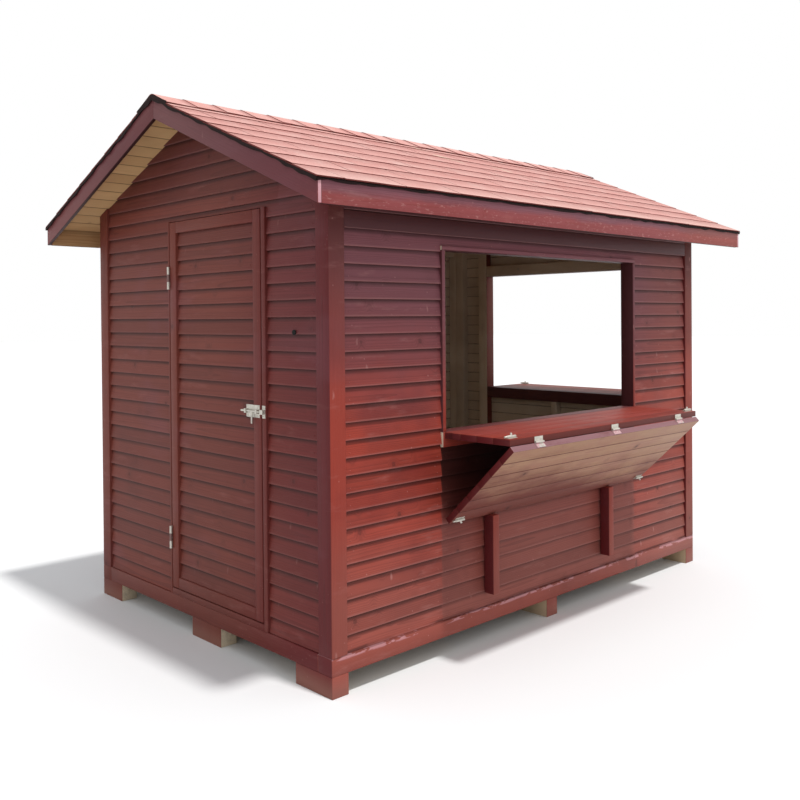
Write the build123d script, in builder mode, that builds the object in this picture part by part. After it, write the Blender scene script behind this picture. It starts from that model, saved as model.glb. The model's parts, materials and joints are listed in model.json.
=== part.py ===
from build123d import *
import os
from math import asin, cos, radians, sin, tan

# A timber street kiosk, built from the ground up.
# X runs along the serving front, -Y looks out of it, +Z is up.
# The origin is on the ground at the middle of the base frame, in millimetres.

# Base frame and floor
base_length = 3000.0
base_depth = 2000.0
foot_width = 90.0
foot_height = 90.0
beam_width = 90.0
beam_height = 75.0
joist_width = 45.0
joist_positions = (-735.0, 0.0, 735.0)
deck_thickness = 20.0

# Feet: offcuts of one section, of uneven length, in three rows along Y
front_foot_lengths = (240.0, 165.0, 165.0)
middle_foot_lengths = (250.0, 250.0, 250.0)
rear_foot_lengths = (215.0, 200.0, 200.0)
middle_foot_shift = -65.0

# Walls: siding set back between the posts, studs behind it
post_size = 85.0
siding_setback = 8.0
siding_thickness = 18.0
stud_depth = 54.0
stud_width = 45.0
corner_stud_width = 75.0
sole_height = 40.0
plate_height = 60.0
king_post_width = 80.0
frieze_drop = 149.8

# Roof
wall_above_door = 34.0
roof_pitch = 23.2
eave_overhang = 200.0
gable_overhang = 220.0
sheathing_thickness = 18.0
shingle_thickness = 12.0
shingle_overhang = 10.0
cap_thickness = 6.0
cap_width = 150.0
fascia_thickness = 20.0
fascia_depth = 95.0
ridge_beam_width = 45.0
ridge_beam_depth = 95.0
rafter_width = 45.0
rafter_depth = 60.0
rafter_positions = (-1080.0, -360.0, 360.0, 1080.0)

# Hatches: the front one serves the street, the side one is in the far gable
sill_height = 1028.0
hatch_head_drop = 215.0
front_hatch_width = 1606.0
side_hatch_width = 1206.0
jamb_width = 78.0
rail_height = 78.0
trim_width = 22.0
head_trim_height = 20.0
nosing_height = 70.0

# Shutters, folded open: one leaf is the counter, the other braces it
leaf_thickness = 30.0
leaf_lap = 12.0
counter_depth = 375.0
brace_length = 524.0
seat_gap = 0.3
batten_width = 45.0
batten_depth = 58.0
batten_bottom = 232.0
front_batten_spacing = 996.0
side_batten_spacing = 800.0
front_batten_shift = -13.0

# Shutter hardware
butt_width = 60.0
butt_plate = 2.0
butt_radius = 5.5
butt_flap = 24.0
butt_inset = 3.0
front_butt_spacing = 615.0
side_butt_spacing = 430.0
catch_length = 60.0
catch_width = 26.0
catch_plate = 2.0
catch_barrel_radius = 6.0
catch_rod_radius = 4.0
catch_knob_radius = 4.5
catch_knob_height = 16.0
catch_sink = 1.0
catch_inset = 15.0
catch_edge = 30.0

# Door
door_lock_edge = -530.0
door_width = 770.0
door_bottom = 200.0
door_height = 1840.0
door_thickness = 40.0
door_gap = 5.0
lock_gap = 6.5
stile_width = 57.0
door_rail_height = 55.0
hinge_strip = 14.0
lock_strip = 29.0
door_post_width = 80.0
stop_width = 12.0

# Door hinges
hinge_height = 113.0
lower_hinge = 452.0
upper_hinge = 1761.0
knuckle_radius = 7.0
pin_radius = 3.0
pin_clearance = 0.08
knuckle_gap = 0.5
hinge_plate = 2.0
hinge_flap = 28.0
flap_clearance = 1.0

# Door latch: a slide bolt on the lock stile and its keeper on the post
latch_height = 1140.0
latch_plate_length = 100.0
latch_plate_height = 56.0
latch_plate_thickness = 2.0
latch_end_margin = 10.0
guide_length = 12.0
guide_height = 20.0
guide_depth = 16.0
guide_inset = 2.0
bolt_radius = 5.0
bolt_clearance = 0.3
bolt_tip_margin = 1.0
bolt_tail = 28.0
bolt_travel = 26.0
handle_radius = 4.0
handle_drop = 56.0
handle_clearance = 5.0
keeper_width = 22.0
keeper_inset = 3.5

# Cable grommet in the siding beside the door
grommet_radius = 11.0
grommet_height = 5.0
grommet_side = -763.0
grommet_level = 1493.0

# Worked out from the sizes above
front = base_depth / 2
gable = base_length / 2
beam_top = foot_height + beam_height
deck_top = beam_top + deck_thickness
siding_face = siding_setback
stud_face = siding_setback + siding_thickness
inner_face = stud_face + stud_depth
eave_reach = front + eave_overhang
gable_reach = gable + gable_overhang
door_top = door_bottom + door_height
eave_height = door_top + wall_above_door
frieze_bottom = eave_height - frieze_drop
pitch = radians(roof_pitch)
ridge_top = eave_height + eave_reach * tan(pitch)
hatch_head = eave_height - hatch_head_drop
trim_top = hatch_head + head_trim_height
nosing_bottom = sill_height - nosing_height
sole_top = beam_top + sole_height
door_hinge_edge = door_lock_edge + door_width
hinge_jamb = door_hinge_edge + door_gap
lock_jamb = door_lock_edge - lock_gap
head_level = door_top + door_gap
tie_top = head_level + plate_height
pin_line = door_hinge_edge + door_gap / 2


def roof_level(distance, drop=0.0):
    """Height of the roof plane at a distance from the ridge, a drop below the sheathing's top."""
    return ridge_top - drop / cos(pitch) - distance * tan(pitch)


def block(x_span, y_span, z_span):
    """A square-cut timber between two values on each axis."""
    x_low, x_high = sorted(x_span)
    y_low, y_high = sorted(y_span)
    z_low, z_high = sorted(z_span)
    with BuildSketch(Plane.XY.offset(z_low)) as outline:
        with Locations(((x_low + x_high) / 2, (y_low + y_high) / 2)):
            Rectangle(x_high - x_low, y_high - y_low)
    extrude(outline.sketch, amount=z_high - z_low)


def along_x(points, x_low, x_high):
    """A profile given as (y, z) points, run along X."""
    with BuildSketch(Plane.YZ.offset(x_low)) as outline:
        with BuildLine():
            Polyline(*points, close=True)
        make_face()
    extrude(outline.sketch, amount=x_high - x_low)


def along_y(points, y_low, y_high):
    """A profile given as (x, z) points, run along Y."""
    with BuildSketch(Plane.XZ.offset(-y_high)) as outline:
        with BuildLine():
            Polyline(*points, close=True)
        make_face()
    extrude(outline.sketch, amount=y_high - y_low)


def slope_section(side, near, far, drop, depth):
    """Profile of a board that follows one roof slope, plumb cut at both ends."""
    return [
        (side * near, roof_level(near, drop)),
        (side * far, roof_level(far, drop)),
        (side * far, roof_level(far, drop + depth)),
        (side * near, roof_level(near, drop + depth)),
    ]


def finish(builder, name):
    """Label a finished piece and write it."""
    builder.part.label = name
    export_step(builder.part, "parts/" + name + ".step")


os.makedirs("parts", exist_ok=True)

# Feet, beams and floor
foot_columns = (-gable + foot_width / 2, 0.0, gable - foot_width / 2)
with BuildPart() as foot_blocks:
    for column, front_length, middle_length, rear_length in zip(
        foot_columns, front_foot_lengths, middle_foot_lengths, rear_foot_lengths
    ):
        foot_span = (column - foot_width / 2, column + foot_width / 2)
        middle_low = middle_foot_shift - middle_length / 2
        block(foot_span, (-front, -front + front_length), (0, foot_height))
        block(foot_span, (middle_low, middle_low + middle_length), (0, foot_height))
        block(foot_span, (front - rear_length, front), (0, foot_height))
finish(foot_blocks, "foot_blocks")

with BuildPart() as base_side_beams:
    for side in (-1, 1):
        block((-gable, gable), (side * front, side * (front - beam_width)), (foot_height, beam_top))
finish(base_side_beams, "base_side_beams")

with BuildPart() as base_end_beams:
    for side in (-1, 1):
        block(
            (side * gable, side * (gable - beam_width)),
            (-front + beam_width, front - beam_width),
            (foot_height, beam_top),
        )
finish(base_end_beams, "base_end_beams")

with BuildPart() as floor_joists:
    for position in joist_positions:
        block(
            (position - joist_width / 2, position + joist_width / 2),
            (-front + beam_width, front - beam_width),
            (foot_height, beam_top),
        )
finish(floor_joists, "floor_joists")

with BuildPart() as floor_deck:
    block(
        (-gable + post_size, gable - post_size),
        (-front + inner_face, front - inner_face),
        (beam_top, deck_top),
    )
finish(floor_deck, "floor_deck")

# Wall frame
with BuildPart() as corner_posts:
    for side in (-1, 1):
        post_top = [
            (side * front, beam_top),
            (side * (front - post_size), beam_top),
            (side * (front - post_size), roof_level(front - post_size, sheathing_thickness)),
            (side * front, roof_level(front, sheathing_thickness)),
        ]
        along_x(post_top, -gable, -gable + post_size)
        along_x(post_top, gable - post_size, gable)
finish(corner_posts, "corner_posts")

front_run = (-gable + post_size, gable - post_size)
gable_run = (-front + post_size, front - post_size)
hinge_post_edge = hinge_jamb + door_post_width
lock_post_edge = lock_jamb - door_post_width
with BuildPart() as sole_plates:
    for side in (-1, 1):
        block(front_run, (side * (front - stud_face), side * (front - inner_face)), (beam_top, sole_top))
    block((gable - stud_face, gable - inner_face), gable_run, (beam_top, sole_top))
    block((-gable + stud_face, -gable + inner_face), (gable_run[0], lock_post_edge), (beam_top, sole_top))
    block((-gable + stud_face, -gable + inner_face), (hinge_post_edge, gable_run[1]), (beam_top, sole_top))
finish(sole_plates, "sole_plates")

plate_outer = front - stud_face
plate_inner = front - inner_face
rafter_seat = sheathing_thickness + rafter_depth
plate_bottom = roof_level(plate_outer, rafter_seat) - plate_height
with BuildPart() as top_plates:
    for side in (-1, 1):
        along_x(
            [
                (side * plate_outer, plate_bottom),
                (side * plate_inner, plate_bottom),
                (side * plate_inner, roof_level(plate_inner, rafter_seat)),
                (side * plate_outer, roof_level(plate_outer, rafter_seat)),
            ],
            *front_run,
        )
        block((side * (gable - stud_face), side * (gable - inner_face)), gable_run, (head_level, tie_top))
finish(top_plates, "top_plates")

front_jamb = front_hatch_width / 2
side_jamb = side_hatch_width / 2
rail_bottom = sill_height - rail_height
bay_middle = (front_jamb + jamb_width + front_run[1]) / 2
rear_stud_pitch = (front_run[1] - front_run[0]) / 6
ridge_beam_half = ridge_beam_width / 2
ridge_beam_bottom = roof_level(ridge_beam_half, sheathing_thickness) - ridge_beam_depth
with BuildPart() as wall_studs:
    for position in (-bay_middle, bay_middle):
        block(
            (position - stud_width / 2, position + stud_width / 2),
            (-plate_outer, -plate_inner),
            (sole_top, plate_bottom),
        )
    for position in (-front_jamb / 3, front_jamb / 3):
        block(
            (position - stud_width / 2, position + stud_width / 2),
            (-plate_outer, -plate_inner),
            (sole_top, rail_bottom),
        )
    for step in (-2, -1, 0, 1, 2):
        position = step * rear_stud_pitch
        block(
            (position - stud_width / 2, position + stud_width / 2),
            (plate_outer, plate_inner),
            (sole_top, plate_bottom),
        )
    for side in (-1, 1):
        stud_span = (side * (gable - stud_face), side * (gable - inner_face))
        for end in (-1, 1):
            block(
                stud_span,
                (end * gable_run[1], end * (gable_run[1] - corner_stud_width)),
                (sole_top, head_level),
            )
        block(stud_span, (-king_post_width / 2, king_post_width / 2), (tie_top, ridge_beam_bottom))
    block(
        (gable - stud_face, gable - inner_face),
        (-stud_width / 2, stud_width / 2),
        (sole_top, rail_bottom),
    )
finish(wall_studs, "wall_studs")

# Siding: plain slabs where the lapped boards are
siding_outer = front - siding_face
siding_inner = front - stud_face
gable_siding_outer = gable - siding_face
gable_siding_inner = gable - stud_face
front_trim = front_jamb + trim_width
side_trim = side_jamb + trim_width
with BuildPart() as front_siding_sides:
    for side in (-1, 1):
        block(
            (side * front_trim, side * front_run[1]),
            (-siding_outer, -siding_inner),
            (beam_top, frieze_bottom),
        )
finish(front_siding_sides, "front_siding_sides")

with BuildPart() as front_siding_above_hatch:
    block((-front_trim, front_trim), (-siding_outer, -siding_inner), (trim_top, frieze_bottom))
finish(front_siding_above_hatch, "front_siding_above_hatch")

with BuildPart() as siding_below_hatches:
    block((-front_trim, front_trim), (-siding_outer, -siding_inner), (beam_top, nosing_bottom))
    block((gable_siding_inner, gable_siding_outer), (-side_trim, side_trim), (beam_top, nosing_bottom))
finish(siding_below_hatches, "siding_below_hatches")

with BuildPart() as rear_siding:
    block(front_run, (siding_outer, siding_inner), (beam_top, frieze_bottom))
finish(rear_siding, "rear_siding")

with BuildPart() as end_wall_siding:
    door_siding_span = (-gable_siding_outer, -gable_siding_inner)
    block(door_siding_span, (gable_run[0], lock_jamb - lock_strip), (beam_top, head_level))
    block(door_siding_span, (hinge_jamb + hinge_strip, gable_run[1]), (beam_top, head_level))
    for side in (-1, 1):
        block(
            (gable_siding_inner, gable_siding_outer),
            (side * side_trim, side * gable_run[1]),
            (beam_top, trim_top),
        )
finish(end_wall_siding, "end_wall_siding")


def gable_profile(bottom):
    """Outline of a gable's upper siding, from a level up to the sheathing."""
    return [
        (gable_run[0], bottom),
        (gable_run[1], bottom),
        (gable_run[1], roof_level(gable_run[1], sheathing_thickness)),
        (0, roof_level(0, sheathing_thickness)),
        (gable_run[0], roof_level(gable_run[1], sheathing_thickness)),
    ]


with BuildPart() as gable_siding:
    along_x(gable_profile(head_level), -gable_siding_outer, -gable_siding_inner)
    along_x(gable_profile(trim_top), gable_siding_inner, gable_siding_outer)
finish(gable_siding, "gable_siding")

frieze_top = roof_level(front, rafter_seat)
with BuildPart() as frieze_boards:
    for side in (-1, 1):
        block(front_run, (side * front, side * (front - stud_face)), (frieze_bottom, frieze_top))
finish(frieze_boards, "frieze_boards")

block_edges = [front_run[0]]
for position in rafter_positions:
    block_edges += [position - rafter_width / 2, position + rafter_width / 2]
block_edges.append(front_run[1])
with BuildPart() as eave_blocks:
    for side in (-1, 1):
        block_profile = [
            (side * front, frieze_top),
            (side * (front - stud_face), frieze_top),
            (side * (front - stud_face), roof_level(front - stud_face, sheathing_thickness)),
            (side * front, roof_level(front, sheathing_thickness)),
        ]
        for low, high in zip(block_edges[::2], block_edges[1::2]):
            along_x(block_profile, low, high)
finish(eave_blocks, "eave_blocks")

# Hatch frames: a post or rail in the stud line, with a trim strip out to the posts' face
with BuildPart() as hatch_jambs:
    for side in (-1, 1):
        block(
            (side * front_jamb, side * (front_jamb + jamb_width)),
            (-plate_outer, -plate_inner),
            (sole_top, plate_bottom),
        )
        block((side * front_jamb, side * front_trim), (-front, -plate_outer), (sill_height, hatch_head))
        block(
            (gable - stud_face, gable - inner_face),
            (side * side_jamb, side * (side_jamb + jamb_width)),
            (sole_top, head_level),
        )
        block((gable, gable - stud_face), (side * side_jamb, side * side_trim), (sill_height, hatch_head))
finish(hatch_jambs, "hatch_jambs")

with BuildPart() as hatch_rails:
    block((-front_jamb, front_jamb), (-plate_outer, -plate_inner), (rail_bottom, sill_height))
    block((-front_trim, front_trim), (-front, -plate_outer), (nosing_bottom, sill_height))
    block((-front_jamb, front_jamb), (-plate_outer, -plate_inner), (hatch_head, hatch_head + rail_height))
    block((-front_trim, front_trim), (-front, -plate_outer), (hatch_head, trim_top))
    block((gable - stud_face, gable - inner_face), (-side_jamb, side_jamb), (rail_bottom, sill_height))
    block((gable, gable - stud_face), (-side_trim, side_trim), (nosing_bottom, sill_height))
    block(
        (gable - stud_face, gable - inner_face),
        (-side_jamb, side_jamb),
        (hatch_head, hatch_head + rail_height),
    )
    block((gable, gable - stud_face), (-side_trim, side_trim), (hatch_head, trim_top))
finish(hatch_rails, "hatch_rails")

# Door frame
door_post_span = (-gable + stud_face, -gable + inner_face)
with BuildPart() as door_jambs:
    block(door_post_span, (hinge_jamb, hinge_post_edge), (beam_top, head_level))
    block((-gable, -gable + stud_face), (hinge_jamb, hinge_jamb + hinge_strip), (beam_top, head_level))
    block(door_post_span, (lock_jamb, lock_post_edge), (beam_top, head_level))
    block((-gable, -gable + stud_face), (lock_jamb, lock_jamb - lock_strip), (beam_top, head_level))
finish(door_jambs, "door_jambs")

threshold_top = door_bottom - door_gap
stop_face = -gable + door_thickness + door_gap
with BuildPart() as door_stops:
    for jamb, inward in ((hinge_jamb, -1), (lock_jamb, 1)):
        block(
            (stop_face, -gable + inner_face),
            (jamb, jamb + inward * stop_width),
            (threshold_top, head_level),
        )
finish(door_stops, "door_stops")

with BuildPart() as door_threshold:
    block((-gable, -gable + inner_face), (lock_jamb, hinge_jamb), (beam_top, threshold_top))
finish(door_threshold, "door_threshold")

# Roof
with BuildPart() as ridge_beam:
    along_x(
        [
            (-ridge_beam_half, ridge_beam_bottom),
            (ridge_beam_half, ridge_beam_bottom),
            (ridge_beam_half, roof_level(ridge_beam_half, sheathing_thickness)),
            (0, roof_level(0, sheathing_thickness)),
            (-ridge_beam_half, roof_level(ridge_beam_half, sheathing_thickness)),
        ],
        -gable_siding_inner,
        gable_siding_inner,
    )
finish(ridge_beam, "ridge_beam")

fascia_inner = eave_reach - fascia_thickness
barge_inner = gable_reach - fascia_thickness
with BuildPart() as rafters:
    for side in (-1, 1):
        rafter_profile = slope_section(side, ridge_beam_half, fascia_inner, sheathing_thickness, rafter_depth)
        for position in rafter_positions:
            along_x(rafter_profile, position - rafter_width / 2, position + rafter_width / 2)
finish(rafters, "rafters")

with BuildPart() as roof_sheathing_front:
    along_x(slope_section(-1, 0, fascia_inner, 0, sheathing_thickness), -barge_inner, barge_inner)
finish(roof_sheathing_front, "roof_sheathing_front")

with BuildPart() as roof_sheathing_rear:
    along_x(slope_section(1, 0, fascia_inner, 0, sheathing_thickness), -barge_inner, barge_inner)
finish(roof_sheathing_rear, "roof_sheathing_rear")

with BuildPart() as eave_fascias:
    for side in (-1, 1):
        along_x(
            [
                (side * eave_reach, eave_height - fascia_depth),
                (side * fascia_inner, eave_height - fascia_depth),
                (side * fascia_inner, roof_level(fascia_inner)),
                (side * eave_reach, roof_level(eave_reach)),
            ],
            -barge_inner,
            barge_inner,
        )
finish(eave_fascias, "eave_fascias")

with BuildPart() as bargeboards:
    for side in (-1, 1):
        barge_profile = [
            (side * seat_gap / 2, roof_level(seat_gap / 2)),
            (side * eave_reach, roof_level(eave_reach)),
            (side * eave_reach, roof_level(eave_reach) - fascia_depth),
            (side * seat_gap / 2, roof_level(seat_gap / 2) - fascia_depth),
        ]
        along_x(barge_profile, -gable_reach, -barge_inner)
        along_x(barge_profile, barge_inner, gable_reach)
finish(bargeboards, "bargeboards")

shingle_reach = eave_reach + shingle_overhang
shingle_end = gable_reach + shingle_overhang
with BuildPart() as shingles_front:
    along_x(
        slope_section(-1, 0, shingle_reach, -shingle_thickness, shingle_thickness),
        -shingle_end,
        shingle_end,
    )
finish(shingles_front, "shingles_front")

with BuildPart() as shingles_rear:
    along_x(
        slope_section(1, 0, shingle_reach, -shingle_thickness, shingle_thickness),
        -shingle_end,
        shingle_end,
    )
finish(shingles_rear, "shingles_rear")

cap_drop = -(shingle_thickness + cap_thickness)
with BuildPart() as ridge_cap:
    along_x(
        [
            (-cap_width, roof_level(cap_width, -shingle_thickness)),
            (0, roof_level(0, -shingle_thickness)),
            (cap_width, roof_level(cap_width, -shingle_thickness)),
            (cap_width, roof_level(cap_width, cap_drop)),
            (0, roof_level(0, cap_drop)),
            (-cap_width, roof_level(cap_width, cap_drop)),
        ],
        -shingle_end,
        shingle_end,
    )
finish(ridge_cap, "ridge_cap")

# Shutters
# A leaf's profile is drawn as (out, z), with out the distance in front of the wall's face.
brace_angle = asin((counter_depth - seat_gap) / brace_length)
leaf_bottom = sill_height - leaf_thickness
fold_line = (counter_depth + seat_gap, leaf_bottom - seat_gap)
brace_down = (-sin(brace_angle), -cos(brace_angle))
brace_out = (cos(brace_angle), -sin(brace_angle))


def brace_point(down, out):
    """A point of the brace leaf, from the fold line down the leaf and out of its shown face."""
    return (
        fold_line[0] + down * brace_down[0] + out * brace_out[0],
        fold_line[1] + down * brace_down[1] + out * brace_out[1],
    )


counter_profile = [
    (seat_gap, leaf_bottom),
    (counter_depth, leaf_bottom),
    (counter_depth, sill_height),
    (seat_gap, sill_height),
]
brace_profile = [
    brace_point(0, 0),
    brace_point(brace_length, 0),
    brace_point(brace_length, leaf_thickness),
    brace_point(0, leaf_thickness),
]
front_leaf_half = front_jamb + leaf_lap
side_leaf_half = side_jamb + leaf_lap


def at_front(points):
    """Move a shutter profile to the front wall, as (y, z)."""
    return [(-front - out, level) for out, level in points]


def at_side(points):
    """Move a shutter profile to the far gable, as (x, z)."""
    return [(gable + out, level) for out, level in points]


with BuildPart() as counter_leaves:
    along_x(at_front(counter_profile), -front_leaf_half, front_leaf_half)
    along_y(at_side(counter_profile), -side_leaf_half, side_leaf_half)
finish(counter_leaves, "counter_leaves")

with BuildPart() as brace_leaves:
    along_x(at_front(brace_profile), -front_leaf_half, front_leaf_half)
    along_y(at_side(brace_profile), -side_leaf_half, side_leaf_half)
finish(brace_leaves, "brace_leaves")

batten_top = brace_point(brace_length, leaf_thickness)[1] - seat_gap
batten_face = batten_depth - siding_setback
with BuildPart() as counter_battens:
    for side in (-1, 1):
        middle = front_batten_shift + side * front_batten_spacing / 2
        block(
            (middle - batten_width / 2, middle + batten_width / 2),
            (-siding_outer, -front - batten_face),
            (batten_bottom, batten_top),
        )
        middle = side * side_batten_spacing / 2
        block(
            (gable_siding_outer, gable + batten_face),
            (middle - batten_width / 2, middle + batten_width / 2),
            (batten_bottom, batten_top),
        )
finish(counter_battens, "counter_battens")

# Shutter hinges: a row in the fold between the leaves and a row under the counter at the sill
knuckle_reach = butt_radius + seat_gap
fold_half_angle = (radians(90) + brace_angle) / 2
fold_knuckle = (
    counter_depth + knuckle_reach,
    leaf_bottom + knuckle_reach / tan(fold_half_angle),
)
fold_counter_plate = [
    (counter_depth, leaf_bottom + butt_inset),
    (counter_depth, leaf_bottom + butt_inset + butt_flap),
    (counter_depth + butt_plate, leaf_bottom + butt_inset + butt_flap),
    (counter_depth + butt_plate, leaf_bottom + butt_inset),
]
fold_brace_plate = [
    brace_point(0, butt_inset),
    brace_point(0, butt_inset + butt_flap),
    brace_point(-butt_plate, butt_inset + butt_flap),
    brace_point(-butt_plate, butt_inset),
]
sill_knuckle = (knuckle_reach, leaf_bottom - butt_plate - butt_radius + seat_gap)
sill_wall_plate = [
    (0, leaf_bottom - butt_inset),
    (0, leaf_bottom - butt_inset - butt_flap),
    (butt_plate, leaf_bottom - butt_inset - butt_flap),
    (butt_plate, leaf_bottom - butt_inset),
]
sill_leaf_plate = [
    (butt_inset, leaf_bottom),
    (butt_inset + butt_flap, leaf_bottom),
    (butt_inset + butt_flap, leaf_bottom - butt_plate),
    (butt_inset, leaf_bottom - butt_plate),
]
butt_rows = (
    (fold_counter_plate, fold_brace_plate, fold_knuckle),
    (sill_wall_plate, sill_leaf_plate, sill_knuckle),
)
with BuildPart() as shutter_hinges:
    for first_plate, second_plate, knuckle in butt_rows:
        for step in (-1, 0, 1):
            start = step * front_butt_spacing - butt_width / 2
            along_x(at_front(first_plate), start, start + butt_width)
            along_x(at_front(second_plate), start, start + butt_width)
            with BuildSketch(Plane.YZ.offset(start)):
                with Locations((-front - knuckle[0], knuckle[1])):
                    Circle(butt_radius)
            extrude(amount=butt_width)
            start = step * side_butt_spacing - butt_width / 2
            along_y(at_side(first_plate), start, start + butt_width)
            along_y(at_side(second_plate), start, start + butt_width)
            with BuildSketch(Plane.XZ.offset(-start)):
                with Locations((gable + knuckle[0], knuckle[1])):
                    Circle(butt_radius)
            extrude(amount=-butt_width)
finish(shutter_hinges, "shutter_hinges")


def barrel_catch(seat, outward):
    """A small barrel bolt on a seat plane whose X runs along the leaf; outward is its rod's side."""
    with BuildSketch(seat) as plate:
        Rectangle(catch_length, catch_width)
    extrude(plate.sketch, amount=catch_plate)
    barrel_axis = catch_plate + catch_barrel_radius - catch_sink
    barrel_end = Plane(
        origin=seat.from_local_coords((-outward * catch_length / 2, 0, barrel_axis)),
        x_dir=seat.z_dir,
        z_dir=seat.x_dir * outward,
    )
    with BuildSketch(barrel_end) as barrel:
        Circle(catch_barrel_radius)
    extrude(barrel.sketch, amount=catch_length)
    with BuildSketch(barrel_end) as rod:
        Circle(catch_rod_radius)
    extrude(rod.sketch, amount=catch_length + catch_inset)
    with BuildSketch(seat.offset(barrel_axis)) as knob:
        Circle(catch_knob_radius)
    extrude(knob.sketch, amount=catch_knob_height)


catch_along_front = front_leaf_half - catch_inset - catch_length / 2
catch_along_side = side_leaf_half - catch_inset - catch_length / 2
counter_seat = (counter_depth - catch_edge, sill_height)
brace_seat = brace_point(brace_length - catch_edge, leaf_thickness)
with BuildPart() as shutter_bolts:
    for side in (-1, 1):
        for seat_point, normal in ((counter_seat, (0.0, 1.0)), (brace_seat, brace_out)):
            barrel_catch(
                Plane(
                    origin=(side * catch_along_front, -front - seat_point[0], seat_point[1]),
                    x_dir=(1, 0, 0),
                    z_dir=(0, -normal[0], normal[1]),
                ),
                side,
            )
            barrel_catch(
                Plane(
                    origin=(gable + seat_point[0], side * catch_along_side, seat_point[1]),
                    x_dir=(0, 1, 0),
                    z_dir=(normal[0], 0, normal[1]),
                ),
                side,
            )
finish(shutter_bolts, "shutter_bolts")

# Door leaf
leaf_span = (-gable, -gable + door_thickness)
stile_lines = (
    (door_lock_edge, door_lock_edge + stile_width),
    (door_hinge_edge - stile_width, door_hinge_edge),
)
panel_span = (stile_lines[0][1], stile_lines[1][0])
with BuildPart() as door_stiles:
    for stile in stile_lines:
        block(leaf_span, stile, (door_bottom, door_top))
finish(door_stiles, "door_stiles")

with BuildPart() as door_rails:
    block(leaf_span, panel_span, (door_bottom, door_bottom + door_rail_height))
    block(leaf_span, panel_span, (door_top - door_rail_height, door_top))
finish(door_rails, "door_rails")

with BuildPart() as door_panel:
    block(
        (-gable + siding_face, -gable + stud_face),
        panel_span,
        (door_bottom + door_rail_height, door_top - door_rail_height),
    )
finish(door_panel, "door_panel")

# Door hinges: three knuckles each, the middle one on the leaf, the pin fixed to the outer two
pin_place = (-gable - knuckle_radius, pin_line)
third = hinge_height / 3
flap_end = -gable + hinge_flap
flap_start = -gable + flap_clearance


def knuckle(radius, z_low, z_high, mode=Mode.ADD):
    """A round length on the hinge's pin line."""
    with BuildSketch(Plane.XY.offset(z_low)) as round_section:
        with Locations(pin_place):
            Circle(radius)
    extrude(round_section.sketch, amount=z_high - z_low, mode=mode)


with BuildPart() as frame_hinge_leaves:
    for middle in (lower_hinge, upper_hinge):
        low = middle - hinge_height / 2
        high = middle + hinge_height / 2
        plate_span = (hinge_jamb - hinge_plate, hinge_jamb)
        block((flap_start, flap_end), plate_span, (low, high))
        for z_low, z_high in ((low, low + third), (high - third, high)):
            block((pin_place[0], flap_start), plate_span, (z_low, z_high))
            knuckle(knuckle_radius, z_low, z_high)
        knuckle(pin_radius, low, high)
finish(frame_hinge_leaves, "frame_hinge_leaves")

with BuildPart() as door_hinge_leaves:
    for middle in (lower_hinge, upper_hinge):
        low = middle - hinge_height / 2
        high = middle + hinge_height / 2
        plate_span = (door_hinge_edge, door_hinge_edge + hinge_plate)
        z_low = low + third + knuckle_gap
        z_high = high - third - knuckle_gap
        block((flap_start, flap_end), plate_span, (low, high))
        block((pin_place[0], flap_start), plate_span, (z_low, z_high))
        knuckle(knuckle_radius, z_low, z_high)
        knuckle(pin_radius + pin_clearance, z_low, z_high, mode=Mode.SUBTRACT)
finish(door_hinge_leaves, "door_hinge_leaves")

# Door latch
latch_face = -gable - latch_plate_thickness
bolt_axis_x = latch_face - guide_depth / 2
latch_low = door_lock_edge + latch_end_margin
latch_high = latch_low + latch_plate_length
latch_levels = (latch_height - latch_plate_height / 2, latch_height + latch_plate_height / 2)


def bolt_bore(y_low, y_high, radius):
    """Clear the bolt's way through what stands between two values of y."""
    with BuildSketch(Plane.XZ.offset(-y_high)) as bore:
        with Locations((bolt_axis_x, latch_height)):
            Circle(radius)
    extrude(bore.sketch, amount=y_high - y_low, mode=Mode.SUBTRACT)


with BuildPart() as latch_plate:
    block((-gable, latch_face), (latch_low, latch_high), latch_levels)
    for guide_start in (latch_low + guide_inset, latch_high - guide_inset - guide_length):
        block(
            (latch_face, latch_face - guide_depth),
            (guide_start, guide_start + guide_length),
            (latch_height - guide_height / 2, latch_height + guide_height / 2),
        )
    bolt_bore(latch_low, latch_high, bolt_radius + bolt_clearance)
finish(latch_plate, "latch_plate")

keeper_high = lock_jamb - keeper_inset
keeper_low = keeper_high - keeper_width
with BuildPart() as latch_keeper:
    block((-gable, latch_face), (keeper_low, keeper_high), latch_levels)
    block(
        (latch_face, latch_face - guide_depth),
        (keeper_low, keeper_high),
        (latch_height - guide_height / 2, latch_height + guide_height / 2),
    )
    bolt_bore(keeper_low, keeper_high, bolt_radius + bolt_clearance)
finish(latch_keeper, "latch_keeper")

handle_line = latch_low + guide_inset + guide_length + bolt_travel + handle_radius + handle_clearance
with BuildPart() as latch_bolt:
    with BuildSketch(Plane.XZ.offset(-latch_high - bolt_tail)):
        with Locations((bolt_axis_x, latch_height)):
            Circle(bolt_radius)
    extrude(amount=latch_high + bolt_tail - door_lock_edge + bolt_tip_margin)
    with BuildSketch(Plane.XY.offset(latch_height)):
        with Locations((bolt_axis_x, handle_line)):
            Circle(handle_radius)
    extrude(amount=-handle_drop)
finish(latch_bolt, "latch_bolt")

with BuildPart() as cable_grommet:
    with BuildSketch(Plane.YZ.offset(-gable_siding_outer)):
        with Locations((grommet_side, grommet_level)):
            Circle(grommet_radius)
    extrude(amount=-grommet_height)
finish(cable_grommet, "cable_grommet")
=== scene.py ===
"""Boards, roof covering, hardware and finishes of a timber street kiosk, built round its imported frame.

X runs along the serving front, -Y looks out of it and +Z is up. Lengths are in metres.
"""

import json
from collections import namedtuple
from math import ceil, copysign, cos, pi, radians, sin, sqrt
from random import Random

import bmesh
import bpy
from bpy.props import FloatProperty, FloatVectorProperty, IntProperty, PointerProperty
from mathutils import Matrix, Vector, noise

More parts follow.
